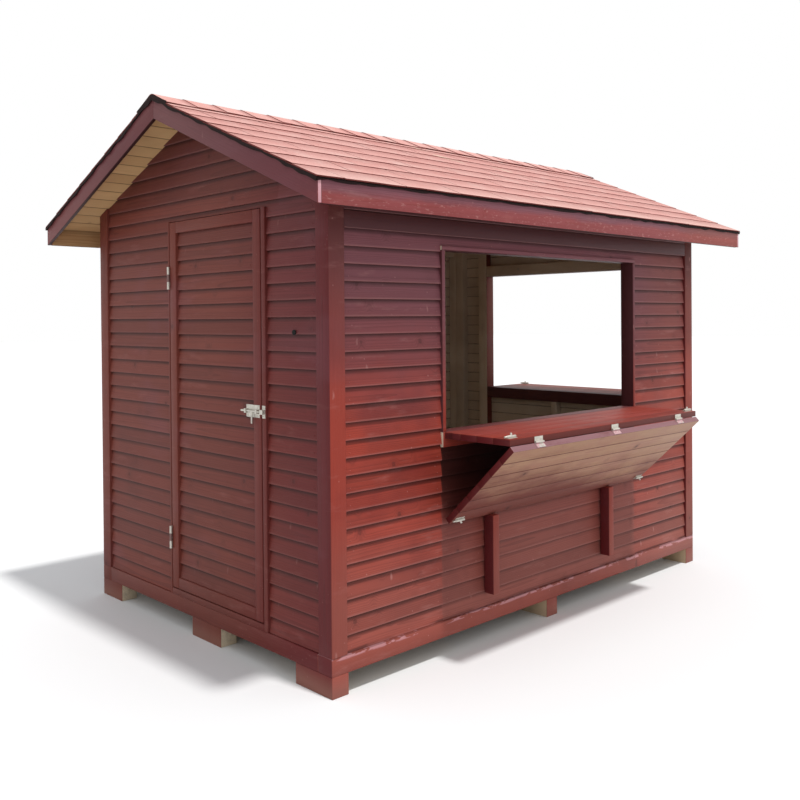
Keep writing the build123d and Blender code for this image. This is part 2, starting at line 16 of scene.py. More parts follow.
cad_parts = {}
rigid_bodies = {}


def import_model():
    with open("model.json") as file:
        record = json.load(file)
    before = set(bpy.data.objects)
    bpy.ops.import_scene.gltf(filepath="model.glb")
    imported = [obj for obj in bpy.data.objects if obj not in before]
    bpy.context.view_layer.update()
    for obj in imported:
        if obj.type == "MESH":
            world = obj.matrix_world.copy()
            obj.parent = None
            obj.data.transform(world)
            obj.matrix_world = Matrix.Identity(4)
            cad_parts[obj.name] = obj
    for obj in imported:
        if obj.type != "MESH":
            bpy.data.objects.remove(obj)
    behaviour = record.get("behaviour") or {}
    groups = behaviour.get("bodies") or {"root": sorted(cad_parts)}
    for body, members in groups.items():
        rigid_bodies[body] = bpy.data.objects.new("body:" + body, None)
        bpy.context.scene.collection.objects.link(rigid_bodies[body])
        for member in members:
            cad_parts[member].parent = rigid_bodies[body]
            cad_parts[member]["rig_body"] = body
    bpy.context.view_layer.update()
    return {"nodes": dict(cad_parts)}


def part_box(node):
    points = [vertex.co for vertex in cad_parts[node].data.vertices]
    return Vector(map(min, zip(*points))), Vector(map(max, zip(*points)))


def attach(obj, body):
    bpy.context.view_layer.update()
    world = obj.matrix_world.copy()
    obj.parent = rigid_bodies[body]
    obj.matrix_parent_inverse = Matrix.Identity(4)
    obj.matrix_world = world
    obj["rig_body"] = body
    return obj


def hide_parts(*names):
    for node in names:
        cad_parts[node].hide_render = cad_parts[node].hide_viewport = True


bl_info = {
    "name": "Street kiosk",
    "version": (1, 0, 0),
    "blender": (4, 5, 0),
    "location": "3D View > Sidebar > Kiosk",
    "description": "Boards, shingles, hardware and finishes of a timber street kiosk",
    "category": "Add Mesh",
}

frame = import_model()
ALONG = Vector((1.0, 0.0, 0.0))
UP = Vector((0.0, 0.0, 1.0))
MERGE = 0.00001
SHARP = radians(35)
SMALL_TURN = radians(1)


def srgb(code):
    """A colour written as six hex digits, in Blender's linear values."""
    parts = [int(code[i:i + 2], 16) / 255 for i in (0, 2, 4)]
    return [c / 12.92 if c <= 0.04045 else ((c + 0.055) / 1.055) ** 2.4 for c in parts]


def length(label, words, value):
    """A property that holds a length in metres."""
    return FloatProperty(name=label, description=words, default=value, min=0.0, unit="LENGTH", precision=4)


def colour(label, words, code):
    """A property that holds a colour."""
    return FloatVectorProperty(
        name=label, description=words, default=srgb(code), min=0.0, max=1.0, size=3, subtype="COLOR"
    )


# Properties


class KioskTimber(bpy.types.PropertyGroup):
    """Sizes of the boards that clad the frame, and of edges and screws."""

    course: length("Siding course", "Height of each siding board that shows", 0.0733)
    lap: length("Siding lap", "How far a board's lower edge stands proud of the board below", 0.010)
    rabbet: length("Siding rabbet", "How far each siding board reaches behind the one above", 0.010)
    back_groove: length("Back groove", "Bevel at the joint of two siding boards inside the cabin", 0.0038)
    lip: length("Siding lip", "Rounding of a siding board's lower edge", 0.003)
    nail_spacing: length("Nail spacing", "Distance between the nails along a siding board", 0.61)
    nail_height: length("Nail height", "Height of the nails above a siding board's lower edge", 0.021)
    end_gap: length("End gap", "Gap between a siding board's end and the post", 0.0015)
    warp: length("Warp", "How far a board strays from straight", 0.0008)
    narrow: length("Narrow door course", "Height of the one ripped board in the door", 0.051)
    door_low: IntProperty(name="Low door courses", description="Door boards below the ripped one", default=11)
    ease: length("Eased edge", "Rounding of a planed timber's edges", 0.0025)
    sheathing: length("Roof board", "Width of a board of the roof's sheathing", 0.092)
    deck: length("Floor board", "Width of a floor board", 0.118)
    leaf: length("Shutter board", "Width of a board in a shutter leaf", 0.093)
    groove: length("Board groove", "Bevel at the joint of two flush boards", 0.0032)
    roof_groove: length("Roof board groove", "Bevel at the joint of two roof boards", 0.0045)
    broken_edge: length("Broken edge", "Bevel of a metal fitting's edges", 0.0004)
    screw: length("Screw head", "Radius of a screw's head", 0.0036)
    plate_area: FloatProperty(
        name="Plate area", description="Smallest face that takes screws", default=0.0003, unit="AREA"
    )


class KioskRoof(bpy.types.PropertyGroup):
    """Sizes of the roof covering."""

    exposure: length("Exposure", "Length of each shingle course that shows", 0.158)
    tab: length("Tab", "Width of one shingle tab", 0.333)
    slot: length("Slot", "Gap between two tabs", 0.004)
    butt: length("Butt", "Height of a tab's lower edge", 0.0055)
    felt: length("Felt", "Thickness of the felt under the shingles", 0.0035)
    droop: length("Felt edge", "How far the felt hangs over the eave boards", 0.012)
    verge: length("Verge edge", "How far the felt hangs over the verge boards", 0.015)
    cap: length("Ridge cap", "Length of each ridge shingle that shows", 0.166)


class KioskFinishes(bpy.types.PropertyGroup):
    """Colours of the finishes."""

    stain: colour("Stain", "Red-brown stain on the sheltered walls", "8A4539")
    maroon: colour("Maroon stain", "Deeper stain on the gables toward the front", "6F1E26")
    # Painted sunlight: the stain's lit copy on the serving front and tops, partly sun fading.
    sunlit_and_faded: colour("Sunned stain", "Brighter stain on the weather side", "BC4A3A")
    # Painted shade: the cool purple-grey of sky-lit shade under the eave, also laid as painted sky
    # reflections.
    bloom_and_skylight: colour("Bloom", "Cool bloom on the weather side's upper boards", "96606E")
    dusty: colour("Dusty stain", "Dulled stain near the ground", "B46E63")
    # Also laid as painted shade under each lap, in the corner under the counters and along the base beam.
    deep_and_shade: colour("Deep stain", "Stain in the grain, joints and knots", "44201F")
    # Also laid as painted highlight on lower edges.
    chalk_and_highlight: colour("Chalky stain", "Stain rubbed thin and pale", "DDA5A0")
    # Also laid as painted shade under the eaves and on the frieze.
    jamb: colour("Hatch frame stain", "Dark stain of the hatch frames", "543338")
    # Painted shade: the near-black of the verge boards' lower edges.
    shade: colour("Shaded edge", "Stain gathered on the lower edges of the verge boards", "2B1014")
    pine: colour("Bare pine", "Planed pine between its rings", "D8B383")
    ring: colour("Pine ring", "The hard part of pine's yearly rings", "A9733F")
    scoured: colour("Scoured stain", "Pink edges where the stain is worn through", "F0B6C0")
    lining: colour("Roof lining", "Fresh warm pine of the roof's boards", "F9CF96")
    inside: colour("Inner wood", "Dull timber inside the cabin", "EBE2D2")
    end_grain: colour("End grain", "Sawn ends that the brush missed", "F2E4CA")
    knot: colour("Knot", "Knots in bare pine", "5C351C")
    shingle: colour("Shingle", "Granules of the roof shingles", "E9B7B0")
    # The veil on the shutters is a painted sheen.
    bare: colour("Worn shingle", "Paler granules on worn patches, and the veil on the shutters", "EAC8C0")
    butt: colour("Shingle edge", "Cut edges of the shingles", "7C3C38")
    bitumen: colour("Bitumen", "Felt round the roof's edge", "1F0F0E")
    zinc: colour("Zinc", "Plating of hinges and bolts", "EAE5DA")
    rust: colour("Rust", "Specks of rust on the plating", "7A4A2C")
    rubber: colour("Rubber", "The cable grommet", "101010")


# Shader expressions


def maths(operation, swapped=False):
    """A method that adds a Math node, fed by its own socket and by any other socket or number."""

    def method(self, *others):
        terms = (*others, self) if swapped else (self, *others)
        return self.finish.node("Math", {"operation": operation}, *terms)

    return method


class Link:
    """A shader socket. An expression on it adds Math nodes to its material."""

    def __init__(self, finish, socket):
        self.finish = finish
        self.socket = socket

    __add__ = __radd__ = maths("ADD")
    __sub__ = maths("SUBTRACT")
    __rsub__ = maths("SUBTRACT", swapped=True)
    __mul__ = __rmul__ = maths("MULTIPLY")
    __truediv__ = maths("DIVIDE")
    __pow__ = maths("POWER")
    __gt__ = maths("GREATER_THAN")
    fract = maths("FRACT")
    root = maths("SQRT")

    def also(self, name):
        """Another output of the same node."""
        return Link(self.finish, self.socket.node.outputs[name])

    def step(self, low, high):
        """A smooth step: 0 below low and 1 above high, or the other way where low is the larger."""
        smooth = {"interpolation_type": "SMOOTHSTEP"}
        ends = (min(low, high), max(low, high), float(low > high), float(low < high))
        return self.finish.node("MapRange", smooth, self, *ends)


class Finish:
    """The nodes of a material or a world, with a body colour that coats are laid over one by one."""

    def __init__(self, owner, shader="BsdfPrincipled", output="OutputMaterial"):
        self.owner = owner
        self.owner.use_nodes = True
        self.tree = self.owner.node_tree
        self.tree.nodes.clear()
        self.shader = self.tree.nodes.new("ShaderNode" + shader)
        self.body = None
        end = self.tree.nodes.new("ShaderNode" + output)
        self.tree.links.new(self.shader.outputs[0], end.inputs["Surface"])

    def node(self, kind, settings, *values, output=0, **named):
        """Add a node of a kind with its settings, give its sockets values or links, and return an output."""
        made = self.tree.nodes.new("ShaderNode" + kind)
        for key, value in settings.items():
            setattr(made, key, value)
        sockets = [s for s in made.inputs if s.enabled]
        for socket, value in list(zip(sockets, values)) + [(made.inputs[k], v) for k, v in named.items()]:
            self.feed(socket, value)
        return Link(self, [s for s in made.outputs if s.enabled][output])

    def feed(self, socket, value):
        """Give a socket a link or a value."""
        if isinstance(value, Link):
            self.tree.links.new(value.socket, socket)
        elif socket.type == "RGBA" and len(value) == 3:
            socket.default_value = (*value, 1.0)
        else:
            socket.default_value = value

    def set(self, **sockets):
        """Give the shader's sockets values or links, with spaces for underscores in their names."""
        for name, value in sockets.items():
            self.feed(self.shader.inputs[name.replace("_", " ")], value)
        return self.owner

    def place(self):
        """The place on a piece, in metres."""
        return self.node("TexCoord", {}, output=3)

    def attribute(self, name, output=2):
        """A layer of a piece's mesh, as a number, or as a vector from output 1."""
        return self.node("Attribute", {"attribute_name": name}, output=output)

    def seen(self):
        """1 for the rays that show the backdrop: straight, mirrored or through glass."""
        return sum(self.node("LightPath", {}, output=kind) for kind in (0, 3, 6))

    def split(self, vector):
        """The three parts of a vector."""
        part = self.node("SeparateXYZ", {}, vector)
        return part, part.also("Y"), part.also("Z")

    def stretch(self, vector, scale):
        return self.node("VectorMath", {"operation": "MULTIPLY"}, vector, scale)

    def noise(self, vector, scale, detail=2.0, rough=0.5):
        """Cloudy noise. Its scale is one number, or one for each of X, Y and Z."""
        if hasattr(scale, "__len__"):
            vector, scale = self.stretch(vector, scale), 1.0
        return self.node("TexNoise", {}, Vector=vector, Scale=scale, Detail=detail, Roughness=rough)

    def cells(self, vector, scale):
        """Random cells: the distance from a cell's middle, and a random number for each cell."""
        distance = self.node("TexVoronoi", {}, Vector=vector, Scale=scale)
        return distance, self.split(distance.also("Color"))[0]

    def flecks(self, vector, scale, size, chance):
        """Small scattered marks with ragged edges, in the middle of some of the cells."""
        distance, number = self.cells(vector, scale)
        ragged = self.noise(vector, scale * 3.0, 2.0, 0.7) - 0.5
        return (distance + ragged * 0.30).step(size, size * 0.3) * (number > chance)

    def mix(self, factor, first, second):
        """A colour between two colours."""
        return self.node("Mix", {"data_type": "RGBA", "clamp_factor": True}, factor, first, second)

    def lay(self, share, coat):
        """Lay a share of a coat's colour over the body colour."""
        self.body = self.mix(share, self.body, coat)

    def done(self, roughness, relief, depth, **sockets):
        """Give the shader the body colour, a roughness and a bump, and return the material."""
        bump = self.node("Bump", {}, Strength=1.0, Distance=depth, Height=relief)
        return self.set(Base_Color=self.body, Roughness=roughness, Normal=bump, **sockets)


# Finishes

# Where marks on the timbers start and where they are full: along X or Y, and then in height
RIGHT_END = (0.70, 1.30)
FRONT_CORNER = (-0.10, -0.95)
SUNLIT_BELOW = (1.75, 1.00)
SKYLIT_SHADE = (1.00, 1.75)
DUSTED = (0.80, 0.25)
GABLE_TOP_SHADE = (2.00, 2.40)
POST_TOP_SHADE = (1.55, 1.98)
GAP_SHADE_OVER_BEAM = (0.180, 0.172)
EAVE_EDGE = (2.050, 2.015)
BEAM_TOP = (0.145, 0.153)
LIP_SHADE_ON_BEAM = (0.159, 0.163)
SOILED = (0.10, 0.01)
NOOK_SHADE = (0.60, 0.84)
ROOF_EDGE = (2.150, 2.118)

# Two pale smears on the front slope: the middle of each bend along X and Y, and its radius
SMEARS = ((0.49, -0.36, 0.135), (0.10, -0.16, 0.240))


def begin(name):
    """A new finish, the kiosk's colours, and the place on a piece."""
    f = Finish(bpy.data.materials.new(name))
    return f, bpy.context.scene.kiosk_finishes, f.place()


def scaled(tint, *shares):
    """A colour times one share, or times one share for each of red, green and blue."""
    return [c * s for c, s in zip(tint, shares * 3)]


def yearly_rings(f, grain, spacing, wander, contrast):
    """Rings round the pith: 0 just after each ring and 1 at its hard end."""
    across, through = f.split(grain)[1:]
    radius = (across * across + through * through).root() + wander
    return (radius / spacing).fract() ** contrast


def wood_figure(f, spacing=0.0045, knots=0.62):
    """Masks of a timber's figure, read from its grain attribute: latewood, fibre, knots and their halos."""
    grain = f.attribute("grain", 1)
    wobble = f.noise(grain, (0.8, 7.0, 7.0)) - 0.5
    distance, number = f.cells(f.stretch(grain, (1.0, 1.0, 0.3)), 8.5)
    knot = distance.step(0.11, 0.075) * (number > knots)
    halo = distance.step(0.34, 0.06) * (number > knots)
    late = yearly_rings(f, grain, spacing, wobble * 0.022 + halo * 0.011, 3.0)
    return late, f.noise(grain, (7.0, 300.0, 300.0), 3.0, 0.6), knot, halo


def bare_pine(name, dull=0.0, fresh=0.0, figure=1.0, tint="end_grain"):
    """Planed pine with yearly rings, fibre and knots; every board has its own tone."""
    f, colours, place = begin(name)
    late, fibre, knot, halo = wood_figure(f)
    tone = f.attribute("board")
    f.body = colours.pine
    f.lay((late * 0.55 + fibre * 0.35) * figure, colours.ring)
    f.lay(tone * 0.45, scaled(colours.ring, 0.62))
    f.lay(halo * 0.45, colours.ring)
    f.lay(knot * 0.9, colours.knot)
    f.lay(dull, colours.inside)
    f.lay(fresh, getattr(colours, tint))
    f.lay(tone * fresh * 0.50, colours.ring)
    f.lay(f.noise(place, 2.3, 3.0).step(0.42, 0.72) * 0.25, scaled(colours.ring, 0.55))
    f.lay(f.attribute("seam") * 0.80, scaled(colours.ring, 0.25))
    return f.done(0.62 + fibre * 0.2, late * 0.5 + fibre * 0.5 - knot * 0.3, 0.0006)


def stained(name, bloom_and_skylight=0.30, haze=0.0, shaded=0.0, lap_shade=0.0, eave=False, chips=False, nook_shade=0.0, worn=0.0,
            dark=0.0, key="jamb", edge_highlight=0.0):
    """Red translucent stain on pine. The grain shows through, and painted sunlight, partly sun fading, makes
    it brighter on the serving front and what tops it.

    A timber may have more or less of a painted cool sky-lit shade on its upper part, dusty haze, a painted
    shaded top, painted shade and highlight at each lap between boards, a chalky eave edge with painted cool
    shade on the verge boards, chips and soil at the base, painted shade in the corner under a counter, stain
    scoured through with a painted highlight, a dark coat of a key, partly painted shade, and a painted
    highlight on a lower edge.
    """
    f, colours, place = begin(name)
    late, fibre, knot, halo = wood_figure(f, 0.0055, 0.55)
    front = f.attribute("weather")
    aside, out, height = f.split(place)
    cloud = f.noise(place, 1.7, 4.0, 0.6)
    drift = f.noise(place, (1.4, 1.4, 3.2), 3.0, 0.6)
    patchy = f.noise(place, (3.0, 3.0, 14.0), 4.0, 0.65)
    level = height + (cloud - 0.5) * 0.5
    corner = out.step(*FRONT_CORNER) * (1.0 - front)
    right = aside.step(*RIGHT_END) * front

    def brim(wander, heights, wave=patchy):
        """A step in height whose line wanders."""
        return (height + (wave - 0.5) * wander).step(*heights)

    f.body = colours.stain
    # Painted sunlight on the front, fuller below the eave's shadow line, partly sun fading.
    f.lay(front * (0.30 + level.step(*SUNLIT_BELOW) * 0.70), colours.sunlit_and_faded)
    f.lay(corner * 0.90, colours.maroon)
    f.lay(drift.step(0.50, 0.66) * front * 0.34, colours.maroon)
    # Painted shade: cool sky-lit shade on the front's upper boards under the eave, less at the right end.
    f.lay(front * level.step(*SKYLIT_SHADE) * bloom_and_skylight * (1.0 - right * 0.55), colours.bloom_and_skylight)
    # Painted reflection: cool patches of sky sheen, more on the gables than on the front.
    f.lay(drift.step(0.46, 0.30) * (0.20 - front * 0.06), colours.bloom_and_skylight)
    f.lay(front * level.step(*DUSTED) * 0.55 + right * 0.30 + haze, colours.dusty)
    # Painted shade under the eave on the gables' upper boards.
    f.lay((1.0 - front) * height.step(*GABLE_TOP_SHADE) * 0.45, colours.jamb)
    # Painted shade under the eave on the posts' tops.
    if shaded:
        f.lay(front * height.step(*POST_TOP_SHADE) * shaded, colours.jamb)
    f.lay(f.attribute("board") * 0.25, colours.deep_and_shade)
    f.lay(late * 0.26 + fibre * 0.22, colours.deep_and_shade)
    f.lay(halo * 0.16 + knot * 0.34, colours.deep_and_shade)
    f.lay(cloud.step(0.50, 0.74) * 0.22, colours.deep_and_shade)
    f.lay(patchy.step(0.55, 0.80) * (0.10 + front * 0.16), colours.chalk_and_highlight)
    smears = f.flecks(f.stretch(place, (21.0, 21.0, 8.0)), 1.0, 0.19, 0.90)
    f.lay(smears * (0.08 + front * 0.24), colours.chalk_and_highlight)
    f.lay(f.flecks(place, 44.0, 0.20, 0.95) * (0.10 + front * 0.24), colours.chalk_and_highlight)
    if lap_shade:
        ragged = f.attribute("ledge") + (fibre - 0.5) * 0.06 + (patchy - 0.5) * 0.10
        # Painted shade in a band under each board's lap.
        f.lay(ragged.step(0.66, 0.97) * lap_shade, scaled(colours.deep_and_shade, 0.45))
        # A pale lower lip: painted highlight, and partly wear.
        f.lay(ragged.step(0.14, 0.03) * (0.05 + front * 0.15), colours.chalk_and_highlight)
        # Painted shade in dashes along the gap over the base beam.
        dashes = f.noise(place, (3.6, 3.6, 0.5)).step(0.36, 0.50)
        f.lay(brim(0.02, GAP_SHADE_OVER_BEAM) * dashes * front * 0.70, colours.deep_and_shade)
    if eave:
        strip = brim(0.06, EAVE_EDGE) * front
        flake = f.noise(place, (34.0, 34.0, 90.0), 4.0, 0.7).step(0.56, 0.66)
        # Painted cool shade on the verge boards' outer faces.
        f.lay((1.0 - front) * 0.24, colours.bloom_and_skylight)
        f.lay(strip * 0.42, colours.sunlit_and_faded)
        f.lay(strip * flake * 0.36, colours.chalk_and_highlight)
    if chips:
        flake = f.noise(place, (7.0, 7.0, 22.0), 3.0, 0.7).step(0.49, 0.54)
        soil = brim(0.08, SOILED, cloud)
        f.lay(brim(0.03, BEAM_TOP) * flake * front * 0.52, colours.scoured)
        # Painted shade in a line under the lowest board's lip.
        f.lay(brim(0.006, LIP_SHADE_ON_BEAM) * front * 0.55, colours.deep_and_shade)
        f.lay(soil * (0.36 - front * 0.16), scaled(colours.ring, 0.6))
        f.lay(soil * 0.20, colours.chalk_and_highlight)
    # Painted shade, nearly black, in the corner under a counter.
    if nook_shade:
        f.lay(brim(0.05, NOOK_SHADE) * nook_shade, scaled(colours.deep_and_shade, 0.35))
    # Pale ends: wear, and a painted highlight on the ends that face up or out.
    if worn:
        f.lay(patchy.step(0.20, 0.50) * worn, colours.scoured)
    f.lay(f.attribute("seam") * 0.70, colours.deep_and_shade)
    # A dark coat: the hatch frames' own dark stain; on the frieze darker stain and painted eave shade;
    # painted shade on the verge boards' lower edges.
    if dark:
        f.lay(dark, getattr(colours, key))
    # Painted highlight along the frieze boards' lower edges.
    if edge_highlight:
        edge = (f.attribute("ledge") + (fibre - 0.5) * 0.02).step(0.055, 0.02)
        f.lay(edge * front.root() * edge_highlight, colours.chalk_and_highlight)
    relief = late * 0.6 + fibre * 0.6 - knot
    return f.done(0.42 + fibre * 0.14 + patchy * 0.10, relief, 0.0005, Specular_IOR_Level=0.24)


def leaf_stain(name):
    """Thin stain on the shutters' shown face: bare pine's tan near the fold, red-brown lower down and to the
    left, partly painted shade, under a painted sheen.
    """
    f, colours, place = begin(name)
    late, fibre, knot, halo = wood_figure(f, 0.006, 0.74)
    cloud = f.noise(f.stretch(place, (1.1, 1.1, 3.0)), 2.2, 4.0, 0.6)
    blotch = f.noise(f.stretch(place, (2.0, 2.0, 6.0)), 2.6, 4.0, 0.65)
    wood = f.mix(late * 0.55 + fibre * 0.45, colours.pine, colours.ring)
    thin = f.mix(blotch.step(0.35, 0.70) * 0.28 + 0.34, wood, colours.dusty)
    thick = f.mix(late * 0.35 + fibre * 0.25, colours.stain, colours.deep_and_shade)
    tone = (f.attribute("board") - 0.5) * 0.25
    # Thicker stain lower down and to the left, partly painted shade.
    leftward = f.split(place)[0] * -0.30
    thick_stain_and_shade = (f.attribute("ledge") + (cloud - 0.5) * 1.2 + tone + leftward).step(0.22, 0.96)
    f.body = f.mix(thick_stain_and_shade, thin, thick)
    # Painted sheen, most where the stain is thin.
    f.lay(0.13 - thick_stain_and_shade * 0.12, colours.bare)
    f.lay(halo * 0.30 + knot * 0.40, colours.deep_and_shade)
    f.lay(f.attribute("seam").step(0.0, 0.6) * 0.88, colours.deep_and_shade)
    relief = late * 0.6 + fibre * 0.6 - knot
    return f.done(0.48 + fibre * 0.15, relief, 0.0005, Specular_IOR_Level=0.38)


def sawn_end(name):
    """Pale sawn end grain with its rings, and grime in patches."""
    f, colours, place = begin(name)
    wobble = f.noise(place, 16.0, 3.0) - 0.5
    late = yearly_rings(f, f.attribute("grain", 1), 0.0045, wobble * 0.006, 2.5)
    grime = f.noise(place, 13.0, 4.0, 0.65)
    f.body = colours.end_grain
    f.lay(late * 0.55, colours.ring)
    f.lay(grime.step(0.52, 0.75) * 0.55, scaled(colours.ring, 0.35))
    return f.done(0.8 + late * 0.1, late + grime, 0.0006)


def granules(name):
    """Mineral granules on a shingle: speckled, with painted shade toward the butt above, each tab with its
    own tone.
    """
    f, colours, place = begin(name)
    along, out, height = f.split(place)
    grit = f.noise(place, 420.0, 2.0, 0.7)
    clump = f.noise(place, 75.0, 4.0, 0.75)
    patch = f.noise(place, 9.0, 3.0, 0.6)
    wide = f.noise(f.stretch(place, (1.0, 2.2, 2.2)), 1.9, 4.0, 0.65)
    red = scaled(colours.shingle, 0.84, 0.60, 0.58)
    f.body = f.mix(grit.step(0.26, 0.56), red, colours.shingle)
    f.lay(f.attribute("board") * 0.42, red)
    f.lay(clump.step(0.50, 0.66) * 0.45, red)
    f.lay(patch.step(0.46, 0.72) * 0.50, colours.bare)
    # Paler along the lowest course.
    f.lay(height.step(*ROOF_EDGE) * 0.36, colours.bare)
    for centre_x, centre_y, bend in SMEARS:
        aside, down = along - centre_x, out - centre_y
        away = (aside * aside + down * down).root() + (clump - 0.5) * 0.11 - bend
        smear = (away * away).step(0.0011, 0.0) * aside.step(0.0, -0.09) * down.step(0.06, -0.02)
        f.lay(smear * patch.step(0.34, 0.56) * 0.62, colours.end_grain)
    f.lay(wide.step(0.46, 0.30) * 0.40, red)
    # Painted shade under the butt of the course above.
    f.lay(f.attribute("weather") * (0.30 + clump * 0.7), scaled(colours.shingle, 0.34, 0.16, 0.16))
    return f.done(0.86 + grit * 0.1, grit, 0.0009)


def bitumen(name, key="bitumen"):
    """Creased felt, or the cut edges of the shingles, with painted highlights on the creases."""
    f, colours, place = begin(name)
    crease_highlight = f.noise(place, 60.0, 4.0, 0.65)
    f.body = getattr(colours, key)
    # Painted highlight on the creases.
    f.lay(crease_highlight.step(0.4, 0.75) * 0.4, scaled(f.body, 2.2))
    return f.done(0.62 + crease_highlight * 0.3, crease_highlight, 0.0012, Specular_IOR_Level=0.2)


def plated(name, painted=0.0, paint="scoured"):
    """Dull zinc plating with handling marks and specks of rust; stain may be brushed over part of it."""
    f, colours, place = begin(name)
    cloud = f.noise(place, 55.0, 4.0, 0.65)
    speck = f.noise(place, 260.0)
    rust = speck.step(0.68, 0.74) * 0.5
    covered = rust
    f.body = colours.zinc
    f.lay(cloud, scaled(colours.zinc, 0.55))
    f.lay(rust, colours.rust)
    if painted:
        smear = f.noise(place, 34.0, 3.0, 0.6).step(0.62 - painted * 0.5, 0.70 - painted * 0.5)
        covered = smear * 0.85 + rust
        f.lay(smear * 0.80, scaled(getattr(colours, paint), 0.8))
    return f.done(0.36 + cloud * 0.25, cloud + speck * 0.4, 0.0002, Metallic=0.55 - covered * 0.5)


def black_rubber(name):
    """Matt black rubber with a bloom."""
    f, colours, place = begin(name)
    bloom_and_skylight = f.noise(place, 180.0, 3.0)
    f.body = colours.rubber
    f.lay(bloom_and_skylight.step(0.45, 0.7) * 0.30, (0.03, 0.03, 0.03))
    return f.done(0.72 + bloom_and_skylight * 0.15, bloom_and_skylight, 0.0002, Specular_IOR_Level=0.25)


FINISHES = {
    "stain": lambda: stained("red_stain"),
    "post_stain": lambda: stained("red_stain_posts", shaded=0.60),
    "board_stain": lambda: stained("red_stain_boards", bloom_and_skylight=0.80, lap_shade=0.72),
    "low_board_stain": lambda: stained("red_stain_low_boards", bloom_and_skylight=0.80, haze=0.34, lap_shade=0.40, nook_shade=0.80),
    "frame_stain": lambda: stained("red_stain_frames", bloom_and_skylight=0.80),
    # The frieze: its dark coat partly painted eave shade, its lower edges with painted highlights.
    "frieze_stain": lambda: stained("red_stain_frieze", dark=0.78, edge_highlight=0.75),
    # Painted shade on the verge boards' lower edges.
    "under_stain": lambda: stained("red_stain_under", dark=0.85, key="shade"),
    "base_stain": lambda: stained("red_stain_base", chips=True),
    # Ends scoured pale, partly a painted highlight.
    "worn_stain": lambda: stained("red_stain_worn", worn=0.96, bloom_and_skylight=0.60),
    "leaf_stain": lambda: leaf_stain("thin_stain"),
    "jamb_stain": lambda: stained("dark_stain", dark=0.72),
    "pine": lambda: bare_pine("bare_pine"),
    "roof_pine": lambda: bare_pine("roof_pine", fresh=0.55, figure=0.8, tint="lining"),
    "pale_pine": lambda: bare_pine("pale_pine", fresh=0.62),
    "inner_pine": lambda: bare_pine("inner_pine", dull=0.70),
    "eave_stain": lambda: stained("red_stain_eave", bloom_and_skylight=0.90, eave=True),
    "end_grain": lambda: sawn_end("sawn_end"),
    "shingle": lambda: granules("shingle_granules"),
    "bitumen": lambda: bitumen("bitumen_edge"),
    "butt": lambda: bitumen("shingle_edge", "butt"),
    "zinc": lambda: plated("zinc_plate"),
    "painted_zinc": lambda: plated("zinc_brushed_over", painted=0.42),
    "stained_zinc": lambda: plated("zinc_under_stain", painted=0.55, paint="maroon"),
    "rubber": lambda: black_rubber("black_rubber"),
}
made_finishes = {}


def finish_of(key):
    """The material of a finish, made the first time that it is asked for."""
    if key not in made_finishes:
        made_finishes[key] = FINISHES[key]()
    return made_finishes[key]


# Shapes


def axes(x, y, z, origin):
    """The matrix that turns X, Y and Z to three directions and moves them to an origin."""
    return Matrix.Translation(origin) @ Matrix((x, y, z)).transposed().to_4x4()


def extent(vertices):
    """The lowest and the highest corner of some vertices."""
    return [Vector([pick(v.co[i] for v in vertices) for i in range(3)]) for pick in (min, max)]


def middle_of(vertices):
    """The mean place of some vertices."""
    return sum((v.co for v in vertices), Vector()) / len(vertices)


def clamped(value):
    """A value held between 0 and 1."""
    return max(0.0, min(1.0, value))


def box_part(low, high):
    """A square-cut block between two corners."""
    part = bmesh.new()
    bmesh.ops.create_cube(part, size=1.0)
    low, high = Vector(low), Vector(high)
    place = Matrix.Translation((low + high) / 2) @ Matrix.Diagonal((*(high - low), 1.0))
    bmesh.ops.transform(part, matrix=place, verts=part.verts)
    return part


def lift(part, height):
    """Move a part up."""
    bmesh.ops.translate(part, verts=part.verts, vec=UP * height)


def pull(part, made, way):
    """Move the vertices that an extrusion made, and return them."""
    moved = [v for v in made["geom"] if isinstance(v, bmesh.types.BMVert)]
    bmesh.ops.translate(part, verts=moved, vec=way)
    return moved


def lengthwise(part, least):
    """The edges that reach more than a least length along X."""
    return [e for e in part.edges if abs(e.verts[0].co.x - e.verts[1].co.x) > least]


def divide(part, edges, cuts):
    """Cut edges into equal lengths, and the faces between them."""
    bmesh.ops.subdivide_edges(part, edges=edges, cuts=cuts, use_grid_fill=True)


def score(part, point, normal):
    """Cut all of a part's faces along a plane, and drop nothing."""
    shape = part.verts[:] + part.edges[:] + part.faces[:]
    bmesh.ops.bisect_plane(part, geom=shape, plane_co=point, plane_no=normal)


def clip(part, point, normal):
    """Cut a part by a plane, drop what is in front of it, and close the cut."""
    shape = part.verts[:] + part.edges[:] + part.faces[:]
    cut = bmesh.ops.bisect_plane(part, geom=shape, plane_co=point, plane_no=normal, clear_outer=True)
    rim = [e for e in cut["geom_cut"] if isinstance(e, bmesh.types.BMEdge)]
    if rim:
        bmesh.ops.holes_fill(part, edges=rim, sides=0)


def round_edges(part, width, edges=None, segments=2):
    """Round the sharp edges of a part, or the ones given."""
    if edges is None:
        edges = [e for e in part.edges if e.calc_face_angle(0.0) > SHARP]
    bmesh.ops.bevel(
        part,
        geom=edges,
        offset=width,
        segments=segments,
        profile=0.5,
        affect="EDGES",
        material=-1,
        clamp_overlap=True,
    )


def paint(part, choose):
    """Give each face of a part the number of its material."""
    for face in part.faces:
        face.material_index = choose(face)


def islands(part):
    """The vertices of each separate solid of a part."""
    seen, groups = set(), []
    for first in part.verts:
        if first in seen:
            continue
        seen.add(first)
        group, fresh = [], [first]
        while fresh:
            vertex = fresh.pop()
            group.append(vertex)
            for edge in vertex.link_edges:
                other = edge.other_vert(vertex)
                if other not in seen:
                    seen.add(other)
                    fresh.append(other)
        groups.append(group)
    return groups


